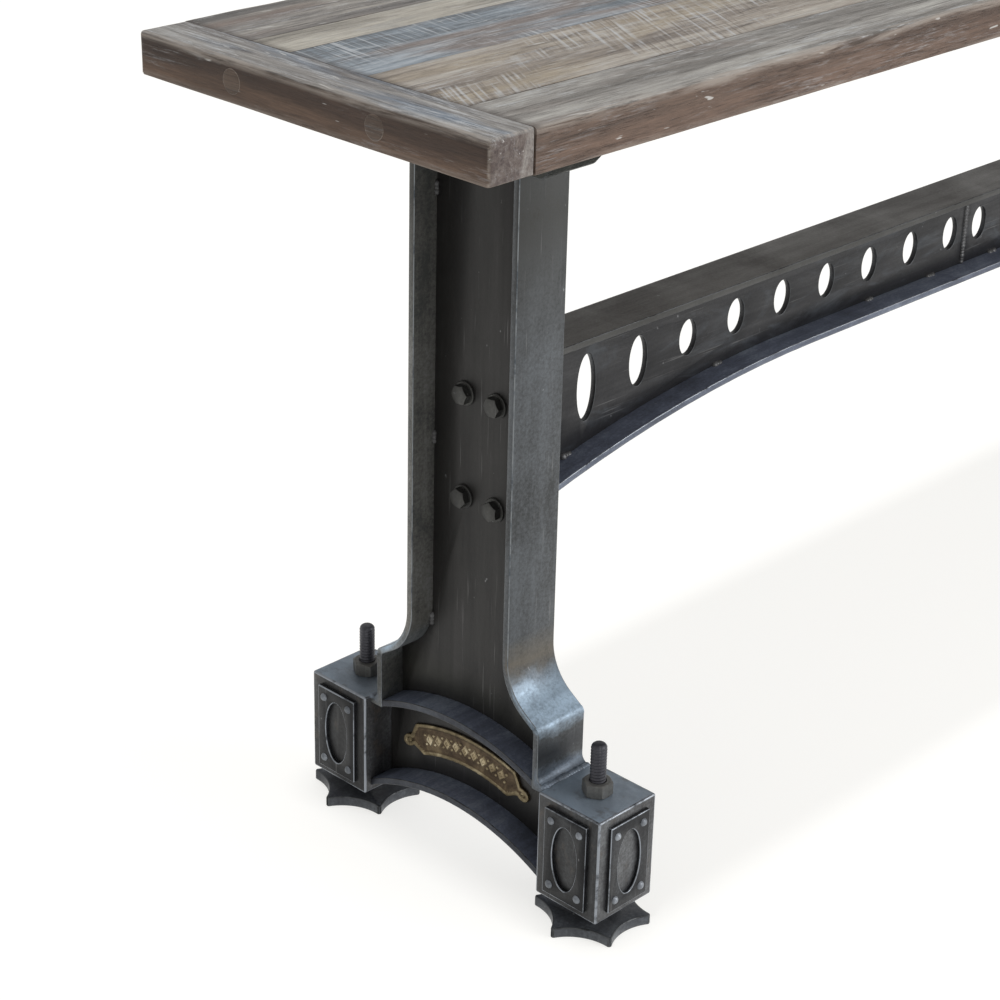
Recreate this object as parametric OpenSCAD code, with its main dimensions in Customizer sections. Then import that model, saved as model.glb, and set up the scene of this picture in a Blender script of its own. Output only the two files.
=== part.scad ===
// Narrow plank-topped sewing table on two fabricated steel legs.
// The legs are joined by a haunched I-section stretcher, and each leg stands on two
// levelling feet: a threaded rod with a star pad, held in a foot block by two nuts.
// Frame: origin on the floor under the middle of the table, X along its length,
// the sitter's side towards -Y, Z up.

/* [Tabletop] */
// Length of the tabletop
table_l = 1793; // [1480:0.1:2200]
// Depth of the tabletop, front to rear
table_w = 392; // [326:0.1:480]
// Height of the tabletop above the floor
table_h = 762; // [635:0.1:920]
// Thickness of the planks
top_t = 36; // [28:1:45]
// Width of each end board
end_board_w = 46; // [36:1:60]
// Width of the front border plank
front_border_w = 70; // [55:1:80]
// Width of the rear border plank
rear_border_w = 83; // [65:1:95]
// Width of the rear inner plank
rear_plank_w = 45; // [38:1:55]
// Width of the middle inner plank
middle_plank_w = 88; // [70:1:100]
// Diameter of the wooden plugs in the end boards
plug_d = 21; // [18:0.5:24]
// Length of each plug
plug_l = 12; // [8:1:16]
// Shift of the front plugs forward from the middle of the front inner plank
plug_front = 4; // [0:0.5:10]
// Shift of the rear plugs forward from the middle of the rear inner plank
plug_rear = 7.5; // [0:0.5:10]
// Length of the lag screws under the plugs
lag_l = 92; // [80:1:110]
// Shank diameter of the lag screws
lag_d = 8; // [6:0.5:10]
// Head diameter of the lag screws
lag_head_d = 16; // [14:0.5:17]
// Head height of the lag screws
lag_head_h = 6; // [4:0.5:7]

/* [Posts] */
// Distance from the end of the tabletop to the middle of the leg
leg_inset = 198; // [165:0.1:238]
// Depth of the post over its flanges
post_depth = 126; // [105:0.1:152]
// Width of the post and rail flanges
flange_w = 58; // [50:1:66]
// Thickness of the flange plates
flange_t = 6.4; // [5.3:0.01:7.7]
// Thickness of the web plates
web_t = 6; // [5:0.1:8]
// Radius of the sweep where the post flange flares out
flare_r = 50; // [40:1:56]
// Angle turned by the sweep
flare_a = 57; // [50:1:62]
// Height of the sweep's start above the blocks
flare_rise = 105.6; // [98:0.1:124]
// Distance from the post's face out to the face of the vertical drop
drop_reach = 39; // [37:0.5:43]
// Outer radius of the bend between sweep and drop
drop_bend_r = 8; // [7.8:0.1:10]
// Radius of the toe that joins the drop to the block
toe_r = 8.5; // [6:0.5:12]

/* [Foot rail] */
// Height of the rib's crown above the blocks
rib_rise = 21; // [18:0.5:24]
// Outer radius of the rib
rib_r = 245; // [230:1:280]
// Height of the arch's crown above the blocks' undersides
arch_rise = 35; // [32:0.5:40]
// Underside radius of the arch
arch_r = 228; // [220:1:260]

/* [Foot blocks] */
// Side of the square block
block_w = 72; // [60:0.1:87]
// Height of the block
block_h = 103; // [92:0.1:124]
// Height of the block's underside above the floor
block_lift = 23.4; // [21:0.1:26]
// Wall of the hollow block
block_wall = 6; // [5:0.5:8]
// Width of the riveted panels
panel_w = 49; // [46:0.5:54]
// Height of the riveted panels
panel_h = 86; // [82:0.5:90]
// Thickness of the riveted panels
panel_t = 4; // [3:0.5:5]
// Width of the oval opening
oval_w = 29; // [24:0.5:31]
// Height of the oval opening
oval_h = 64; // [54:0.5:66]
// Distance between rivets across the panel
rivet_x = 33; // [32:0.5:36]
// Distance between rivets up the panel
rivet_z = 65; // [62:0.5:72]
// Shank diameter of the rivets
rivet_d = 4; // [3:0.5:4.5]
// Head diameter of the rivets
rivet_head_d = 8; // [7:0.5:9]
// Head height of the rivets
rivet_head_h = 2.8; // [2:0.1:3.5]

/* [Levelling feet] */
// Diameter of the threaded rod
rod_d = 14.5; // [12:0.01:19.2]
// Height of the rod's tip above the block
rod_rise = 50; // [40:1:60]
// Width across flats of the nuts
nut_af = 24; // [22:0.5:28]
// Height of the nut on the block
nut_h = 13; // [10:0.5:15]
// Height of the thin nut under the block
thin_nut_h = 8; // [6:0.5:9]
// Radius of the star pad over its points
pad_r = 52; // [46:0.5:56]
// Thickness of the star pad
pad_t = 10; // [8:0.5:11]
// Depth of the hollow between two points
pad_notch = 6.5; // [4:0.5:8]
// Depth of the rod's socket in the pad
socket_depth = 6; // [4:0.5:7]
// Radial play of the rod in the block
rod_play = 0.1; // [0.05:0.01:0.1]
// Radial play of the rod in the nuts
nut_play = 0.05; // [0.03:0.01:0.1]

/* [Saddles] */
// Height of the saddle from the cradle's underside to the wood
saddle_h = 56; // [48:1:70]
// Half length of the cradle's flat
cradle_flat = 87.5; // [80:0.5:100]
// Slope of the cradle's wings
wing_a = 48; // [40:1:55]
// Outer radius of the cradle's bend
cradle_bend_r = 12; // [8:0.5:16]
// Distance from the edge of the tabletop to the plate under it
saddle_margin = 22; // [14:1:28]
// Gap between the cradle and the heads of the wood screws beside it
screw_gap = 4.5; // [2:0.5:8]
// Gap between the heads of the wood screws and the edge of the plate
screw_rim = 4.5; // [2:0.5:8]
// Shank diameter of the wood screws
screw_d = 6; // [5:0.5:7]
// Head diameter of the wood screws
screw_head_d = 12; // [10:0.5:13]
// Head height of the wood screws
screw_head_h = 3.5; // [2.5:0.5:4.5]
// Length of the wood screws in the wood
screw_bite = 24; // [16:1:26]

/* [Stretcher] */
// Height of the stretcher's upper face
stretcher_z = 486; // [460:1:520]
// Width of the stretcher's flanges
stretcher_w = 56; // [50:1:64]
// Depth of the stretcher in its straight middle
stretcher_depth = 90; // [75:1:108]
// Radius of the haunches
haunch_r = 1443; // [1300:1:1700]
// Length of each haunch
haunch_l = 408; // [340:1:430]
// Distance between the oval holes
hole_pitch = 68.4; // [60:0.1:69]
// Distance between the two holes beside the middle seam
seam_pitch = 51.5; // [46:0.5:60]
// Width of the oval holes
hole_w = 24; // [20:0.5:28]
// Height of the oval holes
hole_h = 35; // [30:0.5:42]
// Height of the last hole but one
second_hole_h = 49; // [42:0.5:54]
// Height of the last hole
last_hole_h = 64; // [56:0.5:68]
// Least distance from the last hole to the end of the stretcher
hole_margin = 95; // [80:1:105]
// Thickness of the end plates
end_plate_t = 10; // [8:0.5:12]
// Width of the end plates
end_plate_w = 62; // [58:1:70]
// Diameter of the stretcher bolts
bolt_d = 10; // [10:0.5:12]
// Width across flats of the bolt heads
bolt_af = 16; // [16:0.5:19]
// Height of the bolt heads
bolt_head_h = 6.5; // [6:0.5:9]
// Outer diameter of the washers
washer_d = 22; // [22:0.5:26]
// Thickness of the washers
washer_t = 2.5; // [2:0.1:3]
// Distance between the bolts across the web
bolt_y = 38; // [36:0.5:40]
// Depth of the upper bolts under the stretcher's upper face
upper_bolt_drop = 35.5; // [30:0.5:40]
// Height of the lower bolts above the underside of the stretcher's end
lower_bolt_rise = 16.5; // [16:0.5:24]
// Radial gap of the bolts in the post web
bolt_gap = 0.5; // [0.2:0.1:1]

/* [Brass plates] */
// Height of the plate's middle above the arch
brass_rise = 42.5; // [41:0.5:45]
// Radius of the plate's middle line
brass_r = 175; // [160:1:210]
// Breadth of the plate
brass_w = 31; // [24:0.5:32]
// Thickness of the plate
brass_t = 3; // [2:0.5:4]
// Half length of the plate's body along its curve
brass_body = 68; // [56:1:70]
// Radius of the lobes at its ends
lobe_r = 8; // [6:0.5:9]
// Distance of the lobes' centres beyond the body's ends
lobe_out = 7; // [3:0.5:7]
// Shift of the plate towards the rear
brass_shift = 10.5; // [0:0.5:12]
// Shank diameter of the plate screws
brass_screw_d = 3; // [2.5:0.1:4]
// Head diameter of the plate screws
brass_head_d = 6; // [5:0.1:8]

/* [Hidden] */
$fn = 96;
LEFT = -1;
RIGHT = 1;
FRONT = -1;
REAR = 1;
// a length longer than any cut needs
far = 400;
// a small length by which cutting shapes run past a face
over = 1;
// steps round the long haunch circles
haunch_steps = 1440;

wood_z = table_h - top_t;
wood_mid_z = table_h - top_t / 2;
leg_x = table_l / 2 - leg_inset;
plank_l = table_l - 2 * end_board_w;
front_plank_w = table_w - front_border_w - middle_plank_w - rear_plank_w - rear_border_w;
// seams between the planks, front to rear
seam_1 = -table_w / 2 + front_border_w;
seam_2 = seam_1 + front_plank_w;
seam_3 = seam_2 + middle_plank_w;
seam_4 = seam_3 + rear_plank_w;
// middle lines of the planks, where the saddles are screwed on
plank_mids = [seam_1 - front_border_w / 2, (seam_1 + seam_2) / 2, (seam_2 + seam_3) / 2,
    (seam_3 + seam_4) / 2, seam_4 + rear_border_w / 2];

post_y = post_depth / 2;
saddle_z = wood_z - saddle_h;
saddle_plate_y = table_w / 2 - saddle_margin;
saddle_plate_z = wood_z - flange_t;
// the wood screws stand beside the cradle, where a driver reaches them
screw_x = flange_w / 2 + screw_gap + screw_head_d / 2;
saddle_plate_w = 2 * screw_x + screw_head_d + 2 * screw_rim;
block_top = block_lift + block_h;
block_mid_z = block_lift + block_h / 2;
flare_z = block_top + flare_rise;
// outer face of the drop, inner face of the block, and the rod's axis
drop_y = post_y + drop_reach;
block_in = drop_y + toe_r;
foot_y = block_in + block_w / 2;
toe_z = block_top - flange_t;

// outer face of the flare: end of the sweep, outward normal and centre of the bend
sweep = [post_y + flare_r, flare_z];
normal = [cos(flare_a), sin(flare_a)];
sweep_end = sweep - flare_r * normal;
bend_y = drop_y - drop_bend_r;
bend = [bend_y, (sweep_end * normal - drop_bend_r - normal.x * bend_y) / normal.y];
// where the inner faces of the slope and the drop meet
corner_z = (sweep_end * normal - flange_t - normal.x * (drop_y - flange_t)) / normal.y;

rib_mid_z = block_top + rib_rise - rib_r;
arch_mid_z = block_lift + arch_rise - arch_r;

stretcher_low = stretcher_z - stretcher_depth;
stretcher_end = leg_x - web_t / 2 - end_plate_t;
straight_x = stretcher_end - haunch_l;
haunch_drop = haunch_r - sqrt(haunch_r * haunch_r - haunch_l * haunch_l);
hole_count = floor((stretcher_end - hole_margin - seam_pitch / 2) / hole_pitch) + 1;
bolt_heights = [stretcher_z - upper_bolt_drop, stretcher_low - haunch_drop + lower_bolt_rise];
bolt_l = washer_t + web_t + end_plate_t;

brass_half_a = brass_body / brass_r * 180 / PI;
brass_mid_r = arch_r + brass_rise;
brass_turn = brass_shift / brass_mid_r * 180 / PI;
lobe_a = (brass_body + lobe_out) / brass_r * 180 / PI;

wood_grey = [0.42, 0.38, 0.35];
wood_brown = [0.38, 0.28, 0.22];
wood_blue = [0.38, 0.42, 0.46];
wood_tan = [0.55, 0.47, 0.38];
steel_dark = [0.17, 0.17, 0.18];
steel_mid = [0.27, 0.28, 0.30];
steel_blue = [0.22, 0.25, 0.30];
steel_bright = [0.42, 0.43, 0.45];
brass_aged = [0.50, 0.43, 0.29];

// ---- helpers ----

// A leg's pieces are drawn about its own middle with the outside towards -X.
module at_leg(side) {
    if (side == LEFT) translate([-leg_x, 0, 0]) children();
    else translate([leg_x, 0, 0]) mirror([1, 0, 0]) children();
}

// Front pieces of a leg are the rear ones mirrored.
module at_end(face) {
    if (face == REAR) children();
    else mirror([0, 1, 0]) children();
}

// An outline in Y and Z becomes a plate of thickness t about the plane X = 0.
module plate_yz(t) {
    translate([-t / 2, 0, 0]) rotate([90, 0, 90]) linear_extrude(t) children();
}

// An outline in X and Z becomes a plate of thickness t about the plane Y = 0.
module plate_xz(t) {
    translate([0, t / 2, 0]) rotate([90, 0, 0]) linear_extrude(t) children();
}

module both_ways() {
    children();
    mirror([1, 0]) children();
}

// Part of a ring between two radii and two angles under 180 degrees apart.
module ring_part(r_in, r_out, a_from, a_to) {
    intersection() {
        difference() {
            circle(r_out);
            circle(r_in);
        }
        polygon([[0, 0], for (i = [0:4]) let (a = a_from + (a_to - a_from) * i / 4)
            1.5 * r_out * [cos(a), sin(a)]]);
    }
}

module ring(r_in, r_out) {
    difference() {
        circle(r_out);
        circle(r_in);
    }
}

// An upright or lying oval outline.
module oval(w, h) {
    polygon([for (a = [0:7.5:352.5]) [w / 2 * cos(a), h / 2 * sin(a)]]);
}

module hexagon_bar(af, h) {
    cylinder(d = af / cos(30), h = h, $fn = 6);
}

// ---- tabletop ----

module saddle_screw_holes() {
    for (side = [LEFT, RIGHT], x = [-screw_x, screw_x], y = plank_mids)
        translate([side * leg_x + x, y, wood_z - over])
            cylinder(d = screw_d, h = screw_bite + over);
}

module lag_places() {
    for (side = [LEFT, RIGHT], y = [plank_mids[1] - plug_front, plank_mids[3] - plug_rear])
        translate([side * table_l / 2, y, wood_mid_z])
            rotate([0, -side * 90, 0]) children();
}

module plank(y_from, y_to) {
    difference() {
        translate([-plank_l / 2, y_from, wood_z]) cube([plank_l, y_to - y_from, top_t]);
        saddle_screw_holes();
        lag_places() cylinder(d = lag_d, h = plug_l + lag_head_h + lag_l);
    }
}

module border_plank_front() color(wood_grey) plank(-table_w / 2, seam_1);
module inner_plank_front() color(wood_brown) plank(seam_1, seam_2);
module inner_plank_middle() color(wood_blue) plank(seam_2, seam_3);
module inner_plank_rear() color(wood_tan) plank(seam_3, seam_4);
module border_plank_rear() color(wood_grey) plank(seam_4, table_w / 2);

module end_board(side) {
    color(wood_brown) difference() {
        translate([side * (table_l - end_board_w) / 2, 0, wood_mid_z])
            cube([end_board_w, table_w, top_t], center = true);
        lag_places() {
            translate([0, 0, -over]) cylinder(d = plug_d, h = plug_l + lag_head_h + over);
            cylinder(d = lag_d, h = end_board_w + over);
        }
    }
}

module wood_plugs() {
    color(wood_tan) lag_places() cylinder(d = plug_d, h = plug_l);
}

module end_board_screws() {
    color(steel_mid) lag_places() translate([0, 0, plug_l]) {
        cylinder(d = lag_head_d, h = lag_head_h);
        cylinder(d = lag_d, h = lag_head_h + lag_l);
    }
}

// ---- saddles between the posts and the wood ----

module cradle_outline() {
    flat_end = cradle_flat - cradle_bend_r * tan(wing_a / 2);
    translate([-flat_end, saddle_z]) square([2 * flat_end, flange_t]);
    intersection() {
        both_ways() translate([flat_end, saddle_z + cradle_bend_r]) {
            ring_part(cradle_bend_r - flange_t, cradle_bend_r, -90, wing_a - 90);
            rotate(wing_a) translate([0, -cradle_bend_r]) square([2 * saddle_h, flange_t]);
        }
        translate([-far, saddle_z]) square([2 * far, saddle_plate_z - saddle_z]);
    }
}

module saddle_cradle(side) {
    color(steel_dark) at_leg(side) plate_yz(flange_w) cradle_outline();
}

module saddle_web(side) {
    // top of the wings, where their inner faces meet the plate
    wing_top = cradle_flat + (saddle_plate_z - saddle_z) / tan(wing_a) - flange_t / sin(wing_a);
    wing_low = cradle_flat - flange_t * tan(wing_a / 2);
    color(steel_dark) at_leg(side) plate_yz(web_t) difference() {
        polygon([[-wing_low, saddle_z + flange_t], [wing_low, saddle_z + flange_t],
            [wing_top, saddle_plate_z], [-wing_top, saddle_plate_z]]);
        cradle_outline();
    }
}

module saddle_screw_places() {
    for (x = [-screw_x, screw_x], y = plank_mids) translate([x, y, saddle_plate_z]) children();
}

module saddle_plate(side) {
    color(steel_dark) at_leg(side) difference() {
        translate([-saddle_plate_w / 2, -saddle_plate_y, saddle_plate_z])
            cube([saddle_plate_w, 2 * saddle_plate_y, flange_t]);
        saddle_screw_places()
            translate([0, 0, -over]) cylinder(d = screw_d, h = flange_t + 2 * over);
    }
}

module saddle_screws() {
    color(steel_mid) for (side = [LEFT, RIGHT]) at_leg(side) saddle_screw_places() {
        cylinder(d = screw_d, h = flange_t + screw_bite);
        translate([0, 0, -screw_head_h]) cylinder(d = screw_head_d, h = screw_head_h);
    }
}

// ---- posts ----

// One rear flange, outward to +X of the outline: straight, sweep, slope, bend, drop and toe.
module flange_outline() {
    translate([post_y - flange_t, flare_z]) square([flange_t, saddle_z - flare_z]);
    translate(sweep) ring_part(flare_r, flare_r + flange_t, 180, 180 + flare_a);
    bend_start = bend + drop_bend_r * normal;
    polygon([sweep_end, bend_start, bend_start - flange_t * normal,
        sweep_end - flange_t * normal]);
    translate(bend) ring_part(drop_bend_r - flange_t, drop_bend_r, 0, flare_a);
    translate([drop_y - flange_t, toe_z]) square([flange_t, bend.y - toe_z]);
    difference() {
        translate([drop_y, toe_z]) square([toe_r, flange_t + toe_r]);
        translate([block_in, block_top + toe_r]) circle(toe_r);
    }
}

module post_flange(side, face) {
    color(steel_mid) at_leg(side) at_end(face) plate_yz(flange_w) flange_outline();
}

module bolt_places() {
    for (y = [-bolt_y / 2, bolt_y / 2], z = bolt_heights)
        translate([-web_t / 2, y, z]) rotate([0, 90, 0]) children();
}

module post_web(side) {
    inner_y = post_y - flange_t;
    slope_start = sweep_end - flange_t * normal;
    color(steel_dark) at_leg(side) difference() {
        plate_yz(web_t) difference() {
            both_ways() polygon([[0, 0], [drop_y - flange_t, 0], [drop_y - flange_t, corner_z],
                slope_start, [inner_y, flare_z], [inner_y, saddle_z], [0, saddle_z]]);
            both_ways() translate(sweep) circle(flare_r + flange_t);
            both_ways() translate(bend) ring_part(drop_bend_r - flange_t, drop_bend_r, 0, flare_a);
            translate([0, rib_mid_z]) circle(rib_r);
            translate([-far, -far]) square([2 * far, far + toe_z]);
        }
        bolt_places() translate([0, 0, -over])
            cylinder(d = bolt_d + 2 * bolt_gap, h = web_t + 2 * over);
    }
}

// ---- foot rail ----

module rail_rib(side) {
    color(steel_blue) at_leg(side) plate_yz(flange_w) intersection() {
        translate([0, rib_mid_z]) ring(rib_r - flange_t, rib_r);
        translate([-drop_y + flange_t, 0]) square([2 * (drop_y - flange_t), far]);
    }
}

module rail_arch(side) {
    color(steel_blue) at_leg(side) plate_yz(flange_w) intersection() {
        translate([0, arch_mid_z]) ring(arch_r, arch_r + flange_t);
        translate([-block_in, 0]) square([2 * block_in, far]);
    }
}

module rail_web(side) {
    color(steel_dark) at_leg(side) difference() {
        plate_yz(web_t) difference() {
            union() {
                intersection() {
                    translate([0, rib_mid_z]) circle(rib_r - flange_t);
                    translate([-drop_y + flange_t, 0]) square([2 * (drop_y - flange_t), far]);
                }
                both_ways() translate([drop_y - flange_t, 0])
                    square([toe_r + flange_t, toe_z]);
            }
            translate([0, arch_mid_z]) circle(arch_r + flange_t);
        }
        brass_screw_places() translate([0, 0, -brass_t])
            cylinder(d = brass_screw_d, h = brass_t + web_t);
    }
}

// ---- brass plates ----

module brass_screw_places() {
    for (a = [-lobe_a, lobe_a])
        translate([-web_t / 2, 0, arch_mid_z]) rotate([-brass_turn, 0, 0])
            translate([0, 0, brass_mid_r - brass_r]) rotate([a, 0, 0])
                translate([0, 0, brass_r]) rotate([0, 90, 0]) children();
}

module brass_plates() {
    color(brass_aged) for (side = [LEFT, RIGHT]) at_leg(side) difference() {
        translate([-(web_t + brass_t) / 2, 0, 0]) plate_yz(brass_t)
            translate([0, arch_mid_z]) rotate(-brass_turn) translate([0, brass_mid_r - brass_r]) {
                ring_part(brass_r - brass_w / 2, brass_r + brass_w / 2,
                    90 - brass_half_a, 90 + brass_half_a);
                for (a = [-lobe_a, lobe_a])
                    rotate(a) translate([0, brass_r]) circle(lobe_r);
            }
        brass_screw_places() translate([0, 0, -brass_t - over])
            cylinder(d = brass_screw_d, h = brass_t + 2 * over);
    }
}

module brass_plate_screws() {
    color(brass_aged) for (side = [LEFT, RIGHT]) at_leg(side) brass_screw_places()
        translate([0, 0, -brass_t]) {
            cylinder(d = brass_screw_d, h = brass_t + web_t);
            translate([0, 0, -brass_screw_d / 2]) cylinder(d = brass_head_d, h = brass_screw_d / 2);
        }
}

// ---- foot blocks ----

// The panelled faces of a rear block, as a frame with Z out of the face and Y up.
module panel_faces() {
    translate([0, foot_y, block_mid_z]) {
        translate([-block_w / 2, 0, 0]) rotate([90, 0, -90]) children();
        translate([block_w / 2, 0, 0]) rotate([90, 0, 90]) children();
        translate([0, block_w / 2, 0]) rotate([90, 0, 180]) children();
    }
}

module rivet_places() {
    for (x = [-rivet_x / 2, rivet_x / 2], y = [-rivet_z / 2, rivet_z / 2])
        translate([x, y, 0]) children();
}

module foot_block(side, face) {
    inner_w = block_w - 2 * block_wall;
    color(steel_blue) at_leg(side) at_end(face) difference() {
        translate([-block_w / 2, block_in, block_lift]) cube([block_w, block_w, block_h]);
        translate([-inner_w / 2, block_in + block_wall, block_lift + block_wall])
            cube([inner_w, inner_w, block_h - 2 * block_wall]);
        translate([0, foot_y, block_lift - over])
            cylinder(r = rod_d / 2 + rod_play, h = block_h + 2 * over);
        panel_faces() rivet_places() translate([0, 0, -block_wall - over])
            cylinder(d = rivet_d, h = block_wall + 2 * over);
    }
}

module all_blocks() {
    for (side = [LEFT, RIGHT], face = [FRONT, REAR]) at_leg(side) at_end(face) children();
}

module block_panels() {
    color(steel_mid) all_blocks() panel_faces() difference() {
        linear_extrude(panel_t) difference() {
            square([panel_w, panel_h], center = true);
            oval(oval_w, oval_h);
        }
        rivet_places() translate([0, 0, -over]) cylinder(d = rivet_d, h = panel_t + 2 * over);
    }
}

module rivet() {
    translate([0, 0, -block_wall]) cylinder(d = rivet_d, h = block_wall + panel_t);
    dome_r = (pow(rivet_head_d / 2, 2) + pow(rivet_head_h, 2)) / (2 * rivet_head_h);
    translate([0, 0, panel_t]) rotate_extrude() intersection() {
        translate([0, rivet_head_h - dome_r]) circle(dome_r);
        square([rivet_head_d / 2, rivet_head_h]);
    }
}

module panel_rivets() {
    color(steel_bright) all_blocks() panel_faces() rivet_places() rivet();
}

// ---- levelling feet ----

module at_foot(side, face) {
    translate([side * leg_x, face * foot_y, 0]) children();
}

module foot_rod(side, face) {
    tip = rod_d / 8;
    rod_top = block_top + rod_rise;
    color(steel_mid) at_foot(side, face) {
        translate([0, 0, pad_t - socket_depth])
            cylinder(d = rod_d, h = rod_top - tip - pad_t + socket_depth);
        translate([0, 0, rod_top - tip]) cylinder(d1 = rod_d, d2 = rod_d - 2 * tip, h = tip);
    }
}

module star_pad(side, face) {
    point_w = pad_r / 10;
    // half chord of one hollow, and the radius and place of the circle that cuts it
    chord = pad_r * sin(30) - point_w / 2;
    hollow_r = (chord * chord + pad_notch * pad_notch) / (2 * pad_notch);
    hollow_x = pad_r * cos(30) - pad_notch + hollow_r;
    color(steel_blue) at_foot(side, face) difference() {
        linear_extrude(pad_t) difference() {
            circle(pad_r);
            for (a = [30:60:330]) rotate(a) translate([hollow_x, 0]) circle(hollow_r);
        }
        translate([0, 0, pad_t - socket_depth]) cylinder(d = rod_d, h = socket_depth + over);
    }
}

module nut(side, face, z, h) {
    color(steel_bright) at_foot(side, face) translate([0, 0, z]) difference() {
        hexagon_bar(nut_af, h);
        translate([0, 0, -over]) cylinder(r = rod_d / 2 + nut_play, h = h + 2 * over);
    }
}

module thin_nut(side, face) nut(side, face, block_lift - thin_nut_h, thin_nut_h);
module top_nut(side, face) nut(side, face, block_top, nut_h);

// ---- stretcher ----

// The circles that the haunches follow, one at each end of the straight middle.
module at_haunches() {
    both_ways() translate([straight_x, stretcher_low - haunch_r]) children();
}

module arch_band() {
    translate([-straight_x, stretcher_low]) square([2 * straight_x, flange_t]);
    intersection() {
        at_haunches() ring(haunch_r, haunch_r + flange_t, $fn = haunch_steps);
        both_ways() translate([straight_x, stretcher_low - haunch_drop])
            square([stretcher_end - straight_x, haunch_drop + flange_t]);
    }
}

module stretcher_arch_flange() {
    color(steel_blue) plate_xz(stretcher_w) arch_band();
}

module stretcher_top_flange() {
    color(steel_mid) translate([0, 0, stretcher_z - flange_t / 2])
        cube([2 * stretcher_end, stretcher_w, flange_t], center = true);
}

// Depth of the stretcher at a distance x from its middle.
function depth_at(x) = stretcher_depth
    + (x > straight_x ? haunch_r - sqrt(haunch_r * haunch_r - pow(x - straight_x, 2)) : 0);
function hole_x(i) = seam_pitch / 2 + i * hole_pitch;
function hole_height(i) = i == hole_count - 1 ? last_hole_h
    : i == hole_count - 2 ? second_hole_h : hole_h;

// Right half of the web; the left half is its mirror image.
module half_web() {
    z_low = stretcher_low - haunch_drop;
    plate_xz(web_t) difference() {
        translate([0, z_low]) square([stretcher_end, stretcher_z - flange_t - z_low]);
        translate([0, z_low]) square([straight_x, stretcher_low + flange_t - z_low]);
        at_haunches() circle(haunch_r + flange_t, $fn = haunch_steps);
        for (i = [0:hole_count - 1])
            translate([hole_x(i), stretcher_z - depth_at(hole_x(i)) / 2])
                oval(hole_w, hole_height(i));
    }
}

module stretcher_web_right() color(steel_dark) half_web();
module stretcher_web_left() color(steel_dark) mirror([1, 0, 0]) half_web();

module stretcher_end_plates() {
    z_low = stretcher_z - depth_at(stretcher_end);
    color(steel_dark) for (side = [LEFT, RIGHT]) at_leg(side) difference() {
        translate([web_t / 2, -end_plate_w / 2, z_low])
            cube([end_plate_t, end_plate_w, stretcher_z - z_low]);
        bolt_places() cylinder(d = bolt_d, h = web_t + end_plate_t + over);
    }
}

module stretcher_bolts() {
    color(steel_bright) for (side = [LEFT, RIGHT]) at_leg(side) bolt_places()
        translate([0, 0, -washer_t]) {
            cylinder(d = bolt_d, h = bolt_l);
            translate([0, 0, -bolt_head_h]) hexagon_bar(bolt_af, bolt_head_h);
        }
}

module bolt_washers() {
    color(steel_mid) for (side = [LEFT, RIGHT]) at_leg(side) bolt_places()
        translate([0, 0, -washer_t]) difference() {
            cylinder(d = washer_d, h = washer_t);
            translate([0, 0, -over]) cylinder(d = bolt_d + 2 * bolt_gap, h = washer_t + 2 * over);
        }
}

end_board(LEFT);  // end_board_left
end_board(RIGHT);  // end_board_right
border_plank_front();
border_plank_rear();
inner_plank_front();
inner_plank_middle();
inner_plank_rear();
wood_plugs();
end_board_screws();
saddle_plate(LEFT);  // saddle_plate_left
saddle_plate(RIGHT);  // saddle_plate_right
saddle_web(LEFT);  // saddle_web_left
saddle_web(RIGHT);  // saddle_web_right
saddle_cradle(LEFT);  // saddle_cradle_left
saddle_cradle(RIGHT);  // saddle_cradle_right
saddle_screws();
post_web(LEFT);  // post_web_left
post_web(RIGHT);  // post_web_right
post_flange(LEFT, FRONT);  // post_flange_front_left
post_flange(RIGHT, FRONT);  // post_flange_front_right
post_flange(LEFT, REAR);  // post_flange_rear_left
post_flange(RIGHT, REAR);  // post_flange_rear_right
rail_web(LEFT);  // rail_web_left
rail_web(RIGHT);  // rail_web_right
rail_rib(LEFT);  // rail_rib_left
rail_rib(RIGHT);  // rail_rib_right
rail_arch(LEFT);  // rail_arch_left
rail_arch(RIGHT);  // rail_arch_right
brass_plates();
brass_plate_screws();
foot_block(LEFT, FRONT);  // foot_block_front_left
foot_block(RIGHT, FRONT);  // foot_block_front_right
foot_block(LEFT, REAR);  // foot_block_rear_left
foot_block(RIGHT, REAR);  // foot_block_rear_right
block_panels();
panel_rivets();
stretcher_web_left();
stretcher_web_right();
stretcher_top_flange();
stretcher_arch_flange();
stretcher_end_plates();
stretcher_bolts();
bolt_washers();
foot_rod(LEFT, FRONT);  // foot_rod_front_left
foot_rod(RIGHT, FRONT);  // foot_rod_front_right
foot_rod(LEFT, REAR);  // foot_rod_rear_left
foot_rod(RIGHT, REAR);  // foot_rod_rear_right
star_pad(LEFT, FRONT);  // star_pad_front_left
star_pad(RIGHT, FRONT);  // star_pad_front_right
star_pad(LEFT, REAR);  // star_pad_rear_left
star_pad(RIGHT, REAR);  // star_pad_rear_right
thin_nut(LEFT, FRONT);  // thin_nut_front_left
thin_nut(RIGHT, FRONT);  // thin_nut_front_right
thin_nut(LEFT, REAR);  // thin_nut_rear_left
thin_nut(RIGHT, REAR);  // thin_nut_rear_right
top_nut(LEFT, FRONT);  // top_nut_front_left
top_nut(RIGHT, FRONT);  // top_nut_front_right
top_nut(LEFT, REAR);  // top_nut_rear_left
top_nut(RIGHT, REAR);  // top_nut_rear_right
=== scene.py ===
"""Looks for the plank-topped sewing table on its two blackened steel legs."""
import math

import bmesh
import bpy
import numpy as np
from mathutils import Matrix, Vector, noise


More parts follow.
